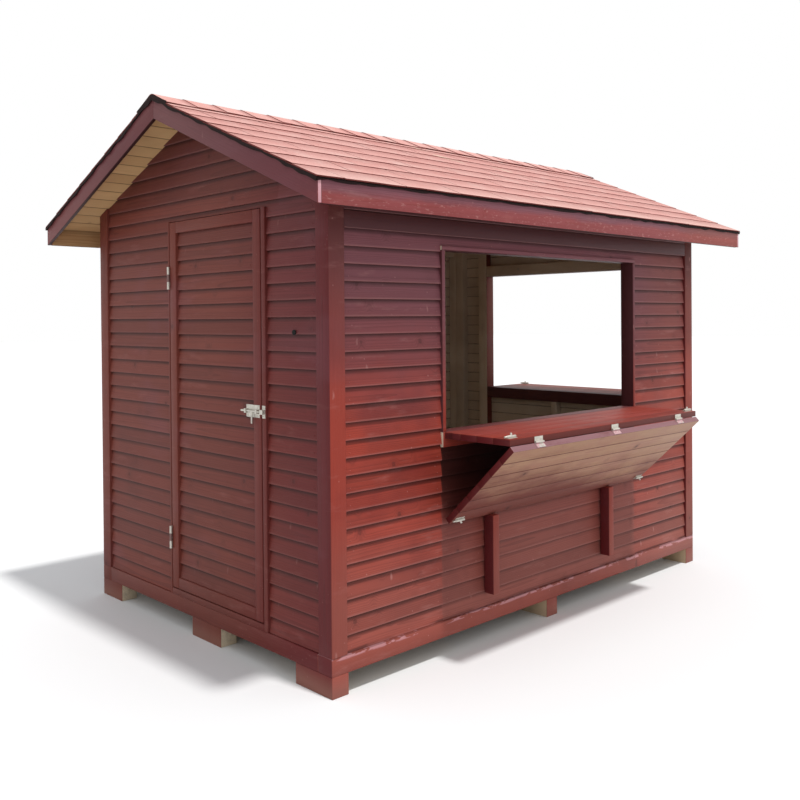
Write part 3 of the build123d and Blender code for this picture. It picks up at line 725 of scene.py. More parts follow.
def faces_of(vertices):
    """The faces that meet at some vertices."""
    return {f for v in vertices for f in v.link_faces}


def long_way(vertices):
    """The direction of the longest edges at some vertices, the same way round on each run."""
    ways = [e.verts[1].co - e.verts[0].co for e in {e for v in vertices for e in v.link_edges}]
    way = max(ways, key=lambda w: (round(w.length, 5), round(abs(w.x), 4), round(abs(w.y), 4))).normalized()
    sign = 1.0 if max(way, key=abs) > 0.0 else -1.0
    return Vector([round(c * sign, 5) for c in way]).normalized()


def vertex_layers(part, *names):
    """Vertex layers that the finishes read. A new layer ends any list of vertices made before it."""
    layers = part.verts.layers
    kinds = [layers.float_vector if name == "grain" else layers.float for name in names]
    for kind, name in zip(kinds, names):
        if name not in kind:
            kind.new(name)
    return [kind[name] for kind, name in zip(kinds, names)]


def fell(draw):
    """A log for one board: where along it the board starts, where its pith lies, and the board's tone."""
    bearing = draw.uniform(0.25, 0.75) * pi
    pith = Vector((cos(bearing), sin(bearing))) * draw.uniform(0.025, 0.085)
    return draw.uniform(0.0, 40.0), pith, draw.random()


def grow_grain(part, axis, draw, vertices=None, log=None, middle=None):
    """Give one timber's vertices their place in the log that it was sawn from, and its tone."""
    grain, board = vertex_layers(part, "grain", "board")
    vertices = vertices or part.verts[:]
    side = axis.cross(UP) if abs(axis.z) < 0.9 else axis.cross(ALONG)
    side.normalize()
    rise = side.cross(axis).normalized()
    middle = middle or middle_of(vertices)
    wide, thick = (max(abs((v.co - middle).dot(d)) for v in vertices) for d in (side, rise))
    if thick > wide:
        side, rise = rise, side
    start, pith, tone = log or fell(draw)
    for v in vertices:
        away = v.co - middle
        v[grain] = (away.dot(axis) + start, away.dot(side) + pith.x, away.dot(rise) + pith.y)
        v[board] = tone


def stack(pile, part, place=None):
    """Add a finished part to a pile, moved to its place."""
    if place is not None:
        bmesh.ops.transform(part, matrix=place, verts=part.verts)
    loose = bpy.data.meshes.new("loose")
    part.to_mesh(loose)
    part.free()
    pile.from_mesh(loose)
    bpy.data.meshes.remove(loose)


def merged(node):
    """A copy of a CAD node's mesh with its triangles joined into whole faces."""
    part = bmesh.new()
    part.from_mesh(frame["nodes"][node].data)
    bmesh.ops.remove_doubles(part, verts=part.verts, dist=MERGE)
    bmesh.ops.dissolve_limit(part, angle_limit=SMALL_TURN, verts=part.verts, edges=part.edges)
    return part


# Pieces


def weather_and_sun_side(centre, normal):
    """How far a surface belongs to the serving front and what tops it, from 0 to 1: its share of painted
    sunlight and of weathering.
    """
    if centre.y > -0.90:
        return 0.15 if abs(normal.x) > 0.7 and centre.y < -0.55 else 0.0
    return clamped(-normal.y + max(normal.z, 0.0) * 0.8)


def under_counter(centre, normal):
    """Boards under the folded shutters: less painted sunlight, for the shutters' shadow."""
    return 0.58 * weather_and_sun_side(centre, normal)


def sheltered_and_shaded(centre, normal):
    """Boards close under the eave: little painted sunlight, for the eave's shade."""
    return 0.12 * weather_and_sun_side(centre, normal)


def make_piece(name, pile, finishes, node, weather=weather_and_sun_side):
    """Turn a pile into a piece that stands for a CAD node and rides on its body."""
    # Each face's share of painted sunlight and weathering, unless the pile already has its own layer.
    layer = pile.loops.layers.float.get("weather")
    if layer is None:
        layer = pile.loops.layers.float.new("weather")
        for face in pile.faces:
            value = weather(face.calc_center_median(), face.normal)
            for corner in face.loops:
                corner[layer] = value
    for face in pile.faces:
        face.smooth = True
    mesh = bpy.data.meshes.new(name)
    pile.to_mesh(mesh)
    pile.free()
    for key in finishes:
        mesh.materials.append(finish_of(key))
    mesh.set_sharp_from_angle(angle=SHARP)
    piece = bpy.data.objects.new(name, mesh)
    bpy.context.scene.collection.objects.link(piece)
    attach(piece, frame["nodes"][node]["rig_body"])
    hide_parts(node)


# Timbers of the frame

# The siding's back along X and Y, a height over the hatches' lower rails, and the verge boards' least X
SIDING_BACK_X = 1.474
SIDING_BACK_Y = 0.974
OVER_RAIL = 1.06
VERGE = 1.6


def outside(centre, normal):
    """Beams and feet are stained where they show; inner sides and ends under the floor stay bare."""
    low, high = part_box("base_side_beams")
    edges = (centre.x - low.x, centre.y - low.y, high.x - centre.x, high.y - centre.y)
    return min(edges) < 0.006 or normal.z > 0.7


def outward(centre, normal):
    """A surface that looks away from the cabin gets stain."""
    return normal.x * centre.x + normal.y * centre.y > -0.2


def doorway(centre, normal):
    """The door's jambs are stained on all but the face toward the cabin."""
    return normal.x < 0.9


def hatch_face(centre, normal):
    """A hatch frame's outer face has the wall's own stain."""
    return normal.y < -0.9 or (normal.x > 0.9 and centre.x > 1.4)


def cabin_side(centre, normal):
    """The face of a hatch's post or upper rail that looks into the cabin is bare, as the studs are."""
    front, side = normal.y > 0.9 and centre.y < -0.8, normal.x < -0.9 and centre.x > 1.3
    return (front or side) and centre.z > OVER_RAIL


def outward_board(centre, normal):
    """A verge or eave board is stained on the face that looks out and on its lower edge, not on its ends."""
    sawn = abs(centre.x) > VERGE and abs(normal.y) > 0.95
    return not sawn and outward(centre, normal)


def all_over(centre, normal):
    """Every face takes the first coat."""
    return True


def brushed_post(centre, normal):
    """A corner post is stained outside the siding's back and bare inside it."""
    return abs(centre.x) > SIDING_BACK_X or abs(centre.y) > SIDING_BACK_Y


def plumb_end(face, axis):
    """An upright cut across a sloping timber."""
    return 0.2 < abs(axis.z) < 0.9 and abs(face.normal.y) > 0.95


def square_timbers(node, name, coats, ease, draw, chosen=all_over):
    """A CAD node's timbers with eased edges and grain along each.

    The coats are the one on chosen faces, the one elsewhere and, where given, those on ends and lower faces.
    """
    part = merged(node)
    round_edges(part, ease)
    if chosen is brushed_post:
        for point, normal in ((ALONG * SIDING_BACK_X, (1, 0, 0)), (Vector((0, SIDING_BACK_Y, 0)), (0, 1, 0))):
            for way in (-1, 1):
                score(part, point * way, normal)
    part.normal_update()
    vertex_layers(part, "grain", "board")
    for group in islands(part):
        axis = long_way(group)
        grow_grain(part, axis, draw, group)
        for face in faces_of(group):
            centre, normal = face.calc_center_median(), face.normal
            bare = chosen is hatch_face and cabin_side(centre, normal)
            sawn = len(coats) > 2 and (abs(normal.dot(axis)) > 0.9 or plumb_end(face, axis) or bare)
            face.material_index = 0 if chosen(centre, normal) else 2 if sawn else 1
            # On the verge and eave boards the lower faces take painted shade.
            if len(coats) > 3 and normal.z < -0.6:
                face.material_index = 3
    make_piece(name, part, coats, node)


# Siding

# Play in a lap and over a board's upper edge, the length between bends, the least height of a nailed board,
# and how far along a wall the ends of boards meet a corner post and keep a gap from it
LAP_PLAY = 0.0004
TOP_PLAY = 0.001
BEND_STEP = 0.3
LEAST_BOARD = 0.005
POST_END = 1.2

# A nail: its inset from a board's ends, the radii and the height of its head, and how far that is driven in
NAIL_INSET = 0.03
NAIL_FOOT = 0.0024
NAIL_TOP = 0.0014
NAIL_HEIGHT = 0.0020
NAIL_DRIVEN = 0.0004


def lap_board(start, end, rise, thickness, sizes, seed):
    """One lapped board along X, its outer face toward -Y, its lower edge at Z 0."""
    part = bmesh.new()
    lap, rabbet, groove = sizes.lap, sizes.rabbet, sizes.back_groove
    section = (
        (0.0, 0.0),
        (lap - LAP_PLAY, 0.0),
        (lap - LAP_PLAY, rabbet),
        (thickness - groove, rabbet),
        (thickness, rabbet + groove),
        (thickness, rise + rabbet - groove),
        (thickness - groove, rise + rabbet - TOP_PLAY),
        (lap, rise + rabbet - TOP_PLAY),
        (lap, rise),
    )
    profile = part.faces.new([part.verts.new((start, depth, height)) for depth, height in section])
    pull(part, bmesh.ops.extrude_face_region(part, geom=[profile]), ALONG * (end - start))
    lip = [v for v in part.verts if v.co.y == 0.0 and v.co.z == 0.0]
    round_edges(part, sizes.lip, [e for e in part.edges if e.verts[0] in lip and e.verts[1] in lip], 3)
    divide(part, lengthwise(part, (end - start) * 0.9), max(1, ceil((end - start) / BEND_STEP) - 1))
    behind = thickness * 0.7
    for v in part.verts:
        bend = noise.noise(Vector((v.co.x * 1.3, seed * 3.7, 0.0)))
        sag = noise.noise(Vector((v.co.x * 0.9, seed * 5.1, 9.0)))
        v.co.y += (bend + 1.0) * sizes.warp * 0.5 if v.co.y < behind else 0.0
        v.co.z += sag * sizes.warp * 0.7
    bmesh.ops.recalc_face_normals(part, faces=part.faces)
    ledge, seam = vertex_layers(part, "ledge", "seam")
    for v in part.verts:
        v[ledge] = v.co.z / rise if v.co.y < behind else 1.0
        v[seam] = float(behind < v.co.y < thickness - groove * 0.5)
    return part


def course_levels(low, high, rise):
    """The siding's courses between two heights, on one grid for every wall."""
    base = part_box("base_side_beams")[1].z
    first = int((low - base) / rise + 0.001)
    last = ceil((high - base) / rise - 0.001)
    return [base + step * rise for step in range(first, last)]


def nails(start, end, sizes):
    """Nail heads along a lapped board, a little above its lower edge."""
    heads = bmesh.new()
    count = max(2, round((end - start) / sizes.nail_spacing) + 1)
    depth = sizes.lap * sizes.nail_height / sizes.course - NAIL_DRIVEN
    for number in range(count):
        along = start + NAIL_INSET + (end - start - 2 * NAIL_INSET) * number / (count - 1)
        head = bmesh.new()
        bmesh.ops.create_cone(
            head, cap_ends=True, segments=8, radius1=NAIL_FOOT, radius2=NAIL_TOP, depth=NAIL_HEIGHT
        )
        place = Matrix.Translation((along, depth, sizes.nail_height))
        stack(heads, head, place @ Matrix.Rotation(pi / 2, 4, "X"))
    return heads


def clad(pile, node, out, sizes, rows=None):
    """Cover each flat slab of a CAD node with lapped boards that look along out.

    Boards of one wall at one height come from one log, so they run on across the joints of the slabs.
    """
    slab = merged(node)
    inward = -Vector(out)
    run = inward.cross(UP)
    wall = f"{node.split('_')[0]} " if rows else ""
    for group in islands(slab):
        faces = sorted(faces_of(group), key=lambda f: f.index)
        widest = max(faces, key=lambda f: f.calc_area())
        depths = [v.co.dot(inward) for v in group]
        if abs(widest.normal.dot(out)) < 0.99 or max(depths) > 0.0:
            continue
        spans = [v.co.dot(run) for v in group]
        heights = [v.co.z for v in group]
        face_depth, thickness = min(depths), max(depths) - min(depths)
        slopes = [f for f in faces if 0.1 < abs(f.normal.z) < 0.99]
        place = axes(run, inward, UP, inward * face_depth)
        start, end = (s - sizes.end_gap * copysign(abs(s) > POST_END, s) for s in (min(spans), max(spans)))
        low, high = min(heights), max(heights)
        for level, rise in rows or [(each, sizes.course) for each in course_levels(low, high, sizes.course)]:
            draw = Random(f"{wall}{run.x:.0f} {run.y:.0f} {level:.3f}")
            board = lap_board(start, end, rise, thickness, sizes, draw.uniform(0.0, 90.0))
            lift(board, level)
            bmesh.ops.transform(board, matrix=place, verts=board.verts)
            clip(board, UP * high, UP)
            clip(board, UP * low, -UP)
            for face in slopes:
                clip(board, face.calc_center_median(), face.normal)
            if not board.verts:
                board.free()
                continue
            if not slopes and low < level + sizes.nail_height < high - LEAST_BOARD:
                heads = nails(start, end, sizes)
                lift(heads, level)
                stack(pile, heads, place)
            heart = inward * (face_depth + thickness / 2) + UP * (level + rise / 2)
            bmesh.ops.dissolve_degenerate(board, dist=MERGE, edges=board.edges)
            grow_grain(board, run, draw, log=fell(draw), middle=heart)
            paint(board, lambda face: int(face.normal.dot(inward) > 0.5))
            stack(pile, board)
    slab.free()


# Operators


class Build:
    """What every operator of this add-on shares."""

    bl_options = {"REGISTER", "UNDO"}

    def execute(self, context):
        self.build(context.scene.kiosk_timber, context.scene.kiosk_roof)
        return {"FINISHED"}


class KIOSK_OT_siding(Build, bpy.types.Operator):
    """Clad every wall with lapped boards"""

    bl_idname = "kiosk.siding"
    bl_label = "Wall siding"

    def build(self, sizes, roof):
        front, rear, left, right = (0, -1, 0), (0, 1, 0), (-1, 0, 0), (1, 0, 0)
        for name, node, outs in (
            ("front_boards_beside_hatch", "front_siding_sides", (front,)),
            ("front_board_above_hatch", "front_siding_above_hatch", (front,)),
            ("boards_below_hatches", "siding_below_hatches", (front, right)),
            ("rear_boards", "rear_siding", (rear,)),
            ("end_wall_boards", "end_wall_siding", (left, right)),
            ("gable_boards", "gable_siding", (left, right)),
        ):
            pile = bmesh.new()
            for out in outs:
                clad(pile, node, Vector(out), sizes)
            coat, weather = "board_stain", weather_and_sun_side
            # The boards under the counters get less painted sunlight, for the shutters' shadow.
            if node == "siding_below_hatches":
                coat, weather = "low_board_stain", under_counter
            make_piece(name, pile, (coat, "inner_pine"), node, weather)


class KIOSK_OT_door(Build, bpy.types.Operator):
    """Build the door's boards, stiles and rails"""

    bl_idname = "kiosk.door"
    bl_label = "Door"

    def build(self, sizes, roof):
        low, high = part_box("door_panel")
        rows, level = [], low.z
        while level < high.z - LEAST_BOARD:
            rise = sizes.narrow if len(rows) == sizes.door_low else sizes.course
            rows.append((level, rise))
            level += rise
        pile = bmesh.new()
        clad(pile, "door_panel", Vector((-1, 0, 0)), sizes, rows)
        make_piece("door_boards", pile, ("board_stain", "inner_pine"), "door_panel")
        draw = Random(23)
        for node, name in (("door_stiles", "door_side_frame"), ("door_rails", "door_cross_frame")):
            square_timbers(node, name, ("stain", "inner_pine"), sizes.ease, draw)


class KIOSK_OT_timbers(Build, bpy.types.Operator):
    """Ease and grain the timbers of the base, walls, hatches, doorway and roof edges"""

    bl_idname = "kiosk.timbers"
    bl_label = "Frame timbers"

    def build(self, sizes, roof):
        draw = Random(37)
        based = ("base_stain", "pale_pine", "end_grain")
        posts = ("post_stain", "inner_pine")
        brushed = ("stain", "inner_pine")
        hatched = ("frame_stain", "jamb_stain", "inner_pine")
        verge = ("eave_stain", "pine", "worn_stain", "under_stain")
        raw = ("inner_pine", "pine", "end_grain")
        open_raw = ("pine", "pine", "end_grain")
        for slot, coats, chosen, *nodes in (
            ("stained_wood", based, outside, "foot_blocks", "base_side_beams", "base_end_beams"),
            ("raw_wood", open_raw, all_over, "floor_joists"),
            ("stained_wood", posts, brushed_post, "corner_posts"),
            ("raw_wood", raw, all_over, "sole_plates", "top_plates", "wall_studs"),
            ("raw_wood", open_raw, all_over, "eave_blocks"),
            ("dark_stained_wood", hatched, hatch_face, "hatch_jambs", "hatch_rails"),
            ("stained_wood", brushed, doorway, "door_jambs"),
            ("dark_stained_wood", ("jamb_stain",), all_over, "door_stops"),
            ("stained_wood", brushed, all_over, "door_threshold"),
            ("raw_wood", raw, all_over, "ridge_beam", "rafters"),
            ("stained_wood", brushed, all_over, "counter_battens"),
            ("stained_wood", verge, outward_board, "bargeboards", "eave_fascias"),
        ):
            for node in nodes:
                square_timbers(node, node + "_planed", coats, sizes.ease, draw, chosen)
        self.frieze(sizes, draw)

    def frieze(self, sizes, draw):
        """Two boards, one above the other, under each eave."""
        gap = 0.001
        slabs = merged("frieze_boards")
        pile = bmesh.new()
        for group in islands(slabs):
            low, high = extent(group)
            half = (low.z + high.z) / 2
            for bottom, top in ((low.z, half - gap), (half + gap, high.z)):
                board = box_part((low.x, low.y, bottom), (high.x, high.y, top))
                round_edges(board, sizes.ease * 1.4)
                board.normal_update()
                ledge, = vertex_layers(board, "ledge")
                for v in board.verts:
                    v[ledge] = (v.co.z - bottom) / (top - bottom)
                grow_grain(board, ALONG, draw)
                paint(board, lambda face: int(not outward(face.calc_center_median(), face.normal)))
                stack(pile, board)
        slabs.free()
        coats = ("frieze_stain", "inner_pine")
        make_piece("frieze_pairs", pile, coats, "frieze_boards", sheltered_and_shaded)


def flush_boards(pile, low, high, width, groove, draw, place=None, joints=0.0):
    """Flush boards along X that fill a box, side by side in Y, with bevelled joints.

    A row may have a joint along it, at the chance of joints.
    """
    end_play, side_play = 0.0004, 0.0003
    count = max(1, round((high[1] - low[1]) / width))
    pitch = (high[1] - low[1]) / count
    for row in range(count):
        ends = [low[0], high[0]]
        if joints and draw.random() < joints:
            ends.insert(1, draw.uniform(low[0] * 0.6, high[0] * 0.6))
        sides = (low[1] + row * pitch + side_play, low[1] + (row + 1) * pitch - side_play)
        for start, end in zip(ends, ends[1:]):
            board = box_part((start + end_play, sides[0], low[2]), (end - end_play, sides[1], high[2]))
            round_edges(board, groove)
            seam, = vertex_layers(board, "seam")
            for v in board.verts:
                v[seam] = max(0.0, 1.0 - min(abs(v.co.y - s) for s in sides) / groove)
            grow_grain(board, ALONG, draw)
            stack(pile, board, place)


class KIOSK_OT_floor(Build, bpy.types.Operator):
    """Lay the floor boards"""

    bl_idname = "kiosk.floor"
    bl_label = "Floor boards"

    def build(self, sizes, roof):
        low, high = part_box("floor_deck")
        pile = bmesh.new()
        flush_boards(pile, low, high, sizes.deck, sizes.groove, Random(41), joints=0.5)
        make_piece("floor_boards", pile, ("inner_pine",), "floor_deck")


Slope = namedtuple("Slope", "place reach thickness half fall")


def roof_slope(side):
    """A slope of the roof: its matrix from the ridge, its reach, thickness, half length and steepness."""
    part = merged("roof_sheathing_front" if side < 0 else "roof_sheathing_rear")
    top = max(part.faces, key=lambda f: f.normal.z * f.calc_area())
    normal = top.normal.copy()
    down = Vector((0.0, normal.y, 0.0)).normalized()
    fall = (down - normal * down.dot(normal)).normalized()
    ridge = max(v.co.z for v in part.verts)
    reach = max(abs(v.co.y) for v in top.verts) / abs(fall.y)
    thickness = max((v.co - top.verts[0].co).dot(-normal) for v in part.verts)
    half = max(v.co.x for v in part.verts)
    part.free()
    place = axes(fall.cross(normal), fall, normal, UP * ridge)
    return Slope(place, reach, thickness, half, abs(fall.z / fall.y))


class KIOSK_OT_roof_boards(Build, bpy.types.Operator):
    """Lay the roof's sheathing boards, which show under the overhangs"""

    bl_idname = "kiosk.roof_boards"
    bl_label = "Roof boards"

    def build(self, sizes, roof):
        draw = Random(53)
        for side, node in ((-1, "roof_sheathing_front"), (1, "roof_sheathing_rear")):
            slope = roof_slope(side)
            pile = bmesh.new()
            set_back = slope.thickness * slope.fall
            low = (-slope.half, set_back, -slope.thickness)
            high = (slope.half, slope.reach - set_back, 0.0)
            flush_boards(pile, low, high, sizes.sheathing, sizes.roof_groove, draw, slope.place, joints=0.6)
            make_piece(node + "_boards", pile, ("roof_pine",), node)


def tab_part(width, depth, low_edge, high_edge, butt, draw):
    """One shingle tab: X across, Y down the slope, its lower edge raised and slightly uneven."""
    curl, ragged = 0.0012, 0.004
    part = box_part((-width / 2, -depth, 0.0), (width / 2, 0.0, butt))
    divide(part, lengthwise(part, width * 0.5), 3)
    seed = draw.uniform(0.0, 90.0)
    for v in part.verts:
        share_down = 1.0 + v.co.y / depth
        rise = high_edge + (low_edge - high_edge) * share_down
        v.co.z += rise + noise.noise(Vector((v.co.x * 6.0, seed, 0.0))) * curl * share_down
        v.co.y += noise.noise(Vector((v.co.x * 9.0, seed, 5.0))) * ragged * share_down
    return part


def shade_shingle(part, covered):
    """Paint shade on a shingle toward its covered end, where the measure of a place reaches 1."""
    layer = part.loops.layers.float.new("weather")
    for face in part.faces:
        for corner in face.loops:
            corner[layer] = clamped(covered(corner.vert.co) * 3.0 - 2.0)


def granules_on_top(face):
    """A shingle's upper side has granules, and its other sides are cut edges."""
    return int(face.normal.z <= 0.5)


class KIOSK_OT_shingles(Build, bpy.types.Operator):
    """Lay the felt, the shingle tabs and the ridge shingles"""

    bl_idname = "kiosk.shingles"
    bl_label = "Shingles"

    coats = ("shingle", "butt", "bitumen")
    edge_inset = 0.001
    least_strip = 0.03
    least_width = 0.02

    def build(self, sizes, roof):
        draw = Random(67)
        for side, node in ((-1, "shingles_front"), (1, "shingles_rear")):
            self.slope(roof_slope(side), node, roof, draw)
        self.ridge(roof, draw)

    def slope(self, slope, node, roof, draw):
        """The felt of one slope with its courses of tabs, every other one shifted by half a tab."""
        eave_inset, ridge_inset, overlap = 0.0065, 0.004, 1.25
        low_edge, high_edge = roof.felt + 0.0016, roof.felt - 0.0022
        low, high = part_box(node)
        half, reach = high.x, max(abs(low.y), abs(high.y)) * sqrt(1 + slope.fall * slope.fall)
        pile = bmesh.new()
        stack(pile, self.felt(half, reach, roof), slope.place)
        for row in range(ceil((reach - 0.02) / roof.exposure)):
            lower = reach - eave_inset - row * roof.exposure
            depth = min(roof.exposure * overlap, lower - ridge_inset)
            if depth < self.least_strip:
                continue
            start = -half - (roof.tab / 2 if row % 2 else 0.0) + draw.uniform(-0.01, 0.01)
            while start < half:
                left = max(start, -half + self.edge_inset)
                right = min(start + roof.tab - roof.slot, half - self.edge_inset)
                if right - left > self.least_width:
                    tab = tab_part(right - left, depth, low_edge, high_edge, roof.butt, draw)
                    shade_shingle(tab, lambda place: -place.y / roof.exposure)
                    grow_grain(tab, ALONG, draw)
                    paint(tab, granules_on_top)
                    spot = ((left + right) / 2, lower + draw.uniform(-0.005, 0.0), 0.0)
                    stack(pile, tab, slope.place @ Matrix.Translation(spot))
                start += roof.tab
        make_piece(node + "_laid", pile, self.coats, node)

    def felt(self, half, reach, roof):
        """The felt, with edges that hang over the eave and both verges."""
        inset, hem = self.edge_inset, 0.003
        bottom = reach - 0.005
        part = box_part((-half + 2 * inset, 0.0, 0.0), (half - 2 * inset, bottom, roof.felt))
        for low, high in (
            ((-half + inset, bottom - hem, -roof.droop), (half - inset, bottom, roof.felt)),
            ((-half + inset, 0.0, -roof.verge), (-half + inset + hem, bottom, roof.felt)),
            ((half - inset - hem, 0.0, -roof.verge), (half - inset, bottom, roof.felt)),
        ):
            edge = box_part(low, high)
            divide(edge, [e for e in edge.edges if e.calc_length() > 0.5], 60)
            for v in edge.verts:
                hang = max(0.05, 0.60 - noise.noise(v.co * 14.0) * 0.8)
                v.co.z *= hang if v.co.z < 0.0 else 1.0
            stack(part, edge)
        paint(part, lambda face: 2)
        return part

    def ridge(self, roof, draw):
        """Shingles bent over the ridge, each covering a part of the one before, and the felt's ends."""
        thickness, overlap, rise, droop, waver = 0.004, 1.3, 0.0035, 0.0055, 0.003
        hem_inset, hem_width, hem_height = 0.0006, 0.003, 0.016
        fall = roof_slope(-1).fall
        low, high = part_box("ridge_cap")
        wing = high.y
        pile = bmesh.new()
        for step in range(ceil((high.x - low.x) / roof.cap)):
            start = low.x + step * roof.cap
            end = min(start + roof.cap * overlap, high.x - self.edge_inset)
            if end - start < self.least_strip:
                continue
            reach_out = wing - draw.uniform(0.001, 0.012)
            cap = self.bent_cap(start + self.edge_inset, end - self.edge_inset, reach_out, fall, thickness)
            seed = draw.uniform(0.0, 90.0)
            for v in cap.verts:
                along = (v.co.x - start) / (end - start)
                edge_share = abs(v.co.y) / wing
                v.co.z += high.z - thickness + rise * (1.0 - along) - droop * edge_share
                v.co.z += (noise.noise(Vector((v.co.x * 4.0, seed, v.co.y))) + 0.2) * waver * edge_share
            grow_grain(cap, ALONG, draw)
            cap.normal_update()
            shade_shingle(cap, lambda place: (place.x - start) / roof.cap)
            paint(cap, granules_on_top)
            stack(pile, cap)
        for start in (low.x + hem_inset, high.x - hem_inset - hem_width):
            hem = self.bent_cap(start, start + hem_width, wing - 0.014, fall, hem_height)
            lift(hem, high.z - 0.0045)
            paint(hem, lambda face: 2)
            stack(pile, hem)
        make_piece("ridge_shingles", pile, self.coats, "ridge_cap")

    def bent_cap(self, start, end, reach_out, fall, thickness):
        """A strip folded over the ridge with a rounded bend."""
        cap = bmesh.new()
        bend = 0.022
        half_line = (reach_out, reach_out / 2, bend, bend / 2)
        line = []
        for across in (*[-a for a in half_line], 0.0, *reversed(half_line)):
            drop = fall * (abs(across) - bend / 2 if abs(across) >= bend else across * across / (2 * bend))
            line.append(cap.verts.new((start, across, -drop)))
        edges = [cap.edges.new(pair) for pair in zip(line, line[1:])]
        pull(cap, bmesh.ops.extrude_edge_only(cap, edges=edges), ALONG * (end - start))
        bmesh.ops.recalc_face_normals(cap, faces=cap.faces)
        cap.normal_update()
        cap.faces.ensure_lookup_table()
        if cap.faces[0].normal.z < 0:
            bmesh.ops.reverse_faces(cap, faces=cap.faces)
        divide(cap, lengthwise(cap, 0.02), 3)
        bmesh.ops.solidify(cap, geom=cap.faces[:], thickness=thickness)
        bmesh.ops.recalc_face_normals(cap, faces=cap.faces)
        return cap


class KIOSK_OT_shutters(Build, bpy.types.Operator):
    """Build the folded shutter leaves from flush boards"""

    bl_idname = "kiosk.shutters"
    bl_label = "Shutter leaves"

    def build(self, sizes, roof):
        draw = Random(79)
        for name, node, coat in (
            ("counter_boards", "counter_leaves", "stain"),
            ("brace_boards", "brace_leaves", "leaf_stain"),
        ):
            leaves = merged(node)
            pile = bmesh.new()
            for group in islands(leaves):
                self.leaf(pile, group, sizes, draw)
            leaves.free()
            make_piece(name, pile, (coat, "stain", "worn_stain"), node)

    def leaf(self, pile, group, sizes, draw):
        """Fill one slab with boards along its longest side. A sloping leaf's upper ends are scoured pale,
        partly a painted highlight.
        """
        normal = max(faces_of(group), key=lambda f: (round(f.calc_area(), 5), f.normal.z)).normal.copy()
        run = long_way(group)
        across = normal.cross(run)
        middle = middle_of(group)
        half = Vector([max((v.co - middle).dot(d) for v in group) for d in (run, across, normal)])
        boards = bmesh.new()
        flush_boards(boards, -half, half, sizes.leaf, sizes.groove, draw)
        boards.normal_update()
        down = -1.0 if across.z > 0 else 1.0
        sloped = abs(across.z) > 0.3
        ledge, = vertex_layers(boards, "ledge")
        for v in boards.verts:
            v[ledge] = 0.5 + 0.5 * down * v.co.y / half.y

        def coat(face):
            """Worn, with a painted highlight, at the upper end, the leaf's own coat on both wide faces, and
            stain elsewhere.
            """
            upward = face.normal.y * down < -0.7
            if sloped and upward and face.calc_center_median().y * down < -half.y * 0.98:
                return 2
            return 0 if abs(face.normal.z) > 0.7 else 1

        paint(boards, coat)
        stack(pile, boards, axes(run, across, normal, middle))


class KIOSK_OT_hardware(Build, bpy.types.Operator):
    """Finish the hinges, bolts, latch and grommet"""

    bl_idname = "kiosk.hardware"
    bl_label = "Hardware"

    def build(self, sizes, roof):
        for node, slot, coats, screws in (
            ("shutter_hinges", "zinc", ("zinc", "painted_zinc"), 2),
            ("shutter_bolts", "zinc", ("zinc",), 2),
            ("frame_hinge_leaves", "zinc", ("zinc",), 0),
            ("door_hinge_leaves", "zinc", ("stained_zinc",), 0),
            ("latch_plate", "zinc", ("zinc",), 4),
            ("latch_keeper", "zinc", ("zinc",), 2),
            ("latch_bolt", "zinc", ("zinc",), 0),
            ("cable_grommet", "black_rubber", ("rubber",), 0),
        ):
            self.fitting(node, slot, coats, screws, sizes)

    def fitting(self, node, slot, coats, screws, sizes):
        """A CAD node's fittings with broken edges, and screws in the plates that look out.

        Where there are two coats, the second is on the lower half of each fitting.
        """
        part = merged(node)
        seats = []
        for group in islands(part):
            middle = middle_of(group)
            for face in sorted(faces_of(group), key=lambda f: f.index):
                centre = face.calc_center_median()
                if len(coats) > 1:
                    face.material_index = int(centre.z < middle.z - 0.001)
                stands_under = (middle - centre).dot(face.normal) > 0.0005
                if screws and face.calc_area() > sizes.plate_area and stands_under:
                    seats.append((*self.plate(face), face.normal.copy(), face.material_index))
        sharp = [e for e in part.edges if e.calc_face_angle(0.0) > SHARP * 1.5]
        round_edges(part, sizes.broken_edge, sharp, 1)
        spin = Random(len(seats))
        for centre, reach, across, normal, index in seats:
            facing = normal.to_track_quat("Z", "Y").to_matrix().to_4x4()
            inset = across.normalized() * (across.length - sizes.screw * 1.7)
            for number in range(screws):
                way, row = (-1, 1)[number % 2], (-1, 1)[number // 2]
                screw = self.screw(sizes.screw)
                paint(screw, lambda face: index)
                spot = centre + reach * way * 0.5 if screws < 4 else centre + reach * way * 0.78 + inset * row
                turned = facing @ Matrix.Rotation(spin.uniform(0, pi), 4, "Z")
                stack(part, screw, Matrix.Translation(spot) @ turned)
        make_piece(node + "_detailed", part, coats, node)

    def plate(self, face):
        """The middle of a face's bounds, which holes don't shift, and its half length and half width."""
        low, high = extent(face.verts)
        middle = (low + high) / 2
        edge = max(face.edges, key=lambda e: e.calc_length())
        run = (edge.verts[1].co - edge.verts[0].co).normalized()
        ways = (run, face.normal.cross(run))
        return middle, *[way * max(abs((v.co - middle).dot(way)) for v in face.verts) for way in ways]

    def screw(self, radius):
        """A low domed screw head with a straight slot, looking along Z."""
        part = bmesh.new()
        bmesh.ops.create_cone(
            part, cap_ends=True, segments=12, radius1=radius, radius2=radius * 0.7, depth=radius * 0.6
        )
        slot = radius * 0.16
        for edge in (-slot, slot):
            score(part, (0.0, edge, 0.0), (0.0, 1.0, 0.0))
        part.normal_update()
        strip = [f for f in part.faces if f.normal.z > 0.9 and abs(f.calc_center_median().y) < slot]
        pull(part, bmesh.ops.extrude_face_region(part, geom=strip), UP * (-radius * 0.25))
        bmesh.ops.delete(part, geom=[f for f in strip if f.is_valid], context="FACES")
        bmesh.ops.recalc_face_normals(part, faces=part.faces)
        return part


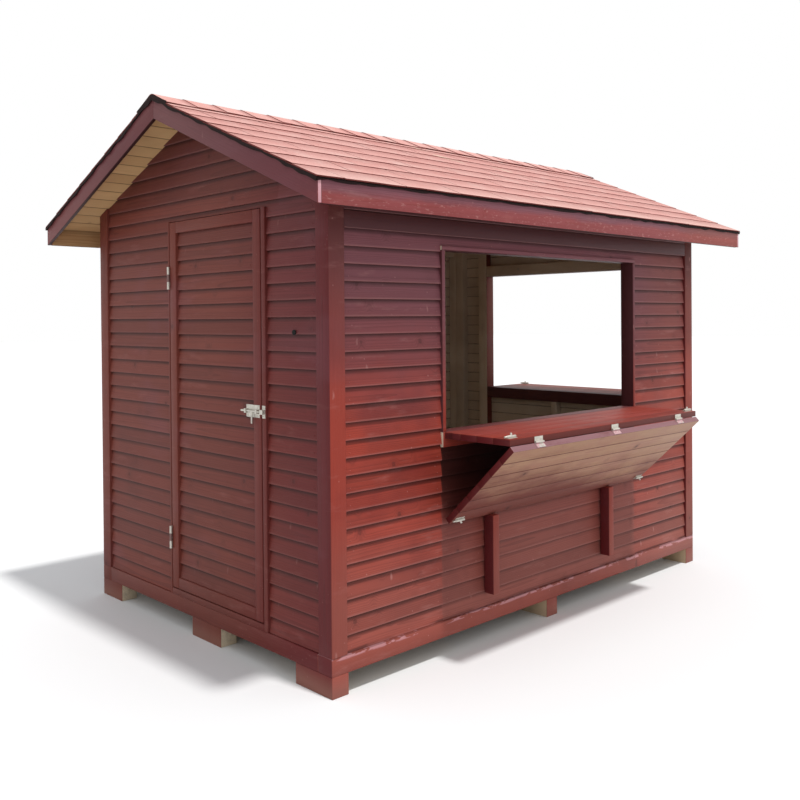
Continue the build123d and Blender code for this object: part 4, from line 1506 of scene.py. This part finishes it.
class KIOSK_OT_stage(Build, bpy.types.Operator):
    """Set the pale floor, the lights and the camera"""

    bl_idname = "kiosk.stage"
    bl_label = "Stage"

    def build(self, sizes, roof):
        for item in (self.floor(), self.lights(), self.camera()):
            bpy.context.scene.collection.objects.link(item)

    def floor(self):
        """A pale floor that keeps the kiosk's shadow. It reflects less light than it shows."""
        shown, reflected = (0.93, 0.955, 0.985), (0.50, 0.50, 0.50)
        part = bmesh.new()
        bmesh.ops.create_grid(part, x_segments=1, y_segments=1, size=60.0)
        mesh = bpy.data.meshes.new("floor")
        part.to_mesh(mesh)
        part.free()
        f = Finish(bpy.data.materials.new("pale_floor"))
        tint = f.mix(f.seen(), reflected, shown)
        mesh.materials.append(f.set(Base_Color=tint, Roughness=0.95, Specular_IOR_Level=0.1))
        ground = bpy.data.objects.new("floor", mesh)
        return ground

    def lights(self):
        """A white world, which lights the kiosk less than it shows, and one soft lamp from high in front."""
        lighting, shown = 0.63, 1.0
        world = bpy.data.worlds.new("studio")
        bpy.context.scene.world = world
        w = Finish(world, "Background", "OutputWorld")
        w.set(Color=(1.0, 1.0, 1.0), Strength=w.node("Mix", {}, w.seen(), lighting, shown))
        sun = bpy.data.lights.new("high_lamp", "SUN")
        sun.energy = 1.95
        sun.angle = radians(4)
        sun.color = (1.0, 0.97, 0.93)
        lamp = bpy.data.objects.new("high_lamp", sun)
        lamp.rotation_euler = (radians(17), radians(1.5), 0.0)
        return lamp

    def camera(self):
        """The photograph's own view: its place, turn, tilt, lens and off-centre frame, fitted to the base."""
        frame_pixels = 800
        focal_pixels = 896.66
        centre_pixels = (368.67, 328.67)
        data = bpy.data.cameras.new("camera")
        data.sensor_width = 36.0
        data.lens = focal_pixels / frame_pixels * data.sensor_width
        data.shift_x = (frame_pixels / 2 - centre_pixels[0]) / frame_pixels
        data.shift_y = (centre_pixels[1] - frame_pixels / 2) / frame_pixels
        camera = bpy.data.objects.new("camera", data)
        turn, tilt, roll = radians(-42.8145), radians(-0.613), radians(-0.4722)
        camera.matrix_world = (
            Matrix.Translation((-3.8444, -3.7651, 1.5468))
            @ Matrix.Rotation(turn, 4, "Z")
            @ Matrix.Rotation(pi / 2 + tilt, 4, "X")
            @ Matrix.Rotation(roll, 4, "Z")
        )
        bpy.context.scene.camera = camera
        return camera


STEPS = (
    KIOSK_OT_siding,
    KIOSK_OT_door,
    KIOSK_OT_timbers,
    KIOSK_OT_floor,
    KIOSK_OT_roof_boards,
    KIOSK_OT_shingles,
    KIOSK_OT_shutters,
    KIOSK_OT_hardware,
    KIOSK_OT_stage,
)
GROUPS = {"kiosk_timber": KioskTimber, "kiosk_roof": KioskRoof, "kiosk_finishes": KioskFinishes}


class KIOSK_PT_sidebar(bpy.types.Panel):
    """The kiosk's sizes, colours and steps"""

    bl_label = "Street kiosk"
    bl_idname = "KIOSK_PT_sidebar"
    bl_space_type = "VIEW_3D"
    bl_region_type = "UI"
    bl_category = "Kiosk"

    def draw(self, context):
        for key, group in GROUPS.items():
            column = self.layout.column()
            for name in group.__annotations__:
                column.prop(getattr(context.scene, key), name)
        for step in STEPS:
            self.layout.operator(step.bl_idname)


CLASSES = (*GROUPS.values(), *STEPS, KIOSK_PT_sidebar)


def register():
    for item in CLASSES:
        bpy.utils.register_class(item)
    for key, group in GROUPS.items():
        setattr(bpy.types.Scene, key, PointerProperty(type=group))


def unregister():
    for key in GROUPS:
        delattr(bpy.types.Scene, key)
    for item in reversed(CLASSES):
        bpy.utils.unregister_class(item)


def main():
    register()
    for step in STEPS:
        group, name = step.bl_idname.split(".")
        getattr(getattr(bpy.ops, group), name)()
    bpy.context.scene.view_settings.view_transform = "Standard"


if __name__ == "__main__":
    main()
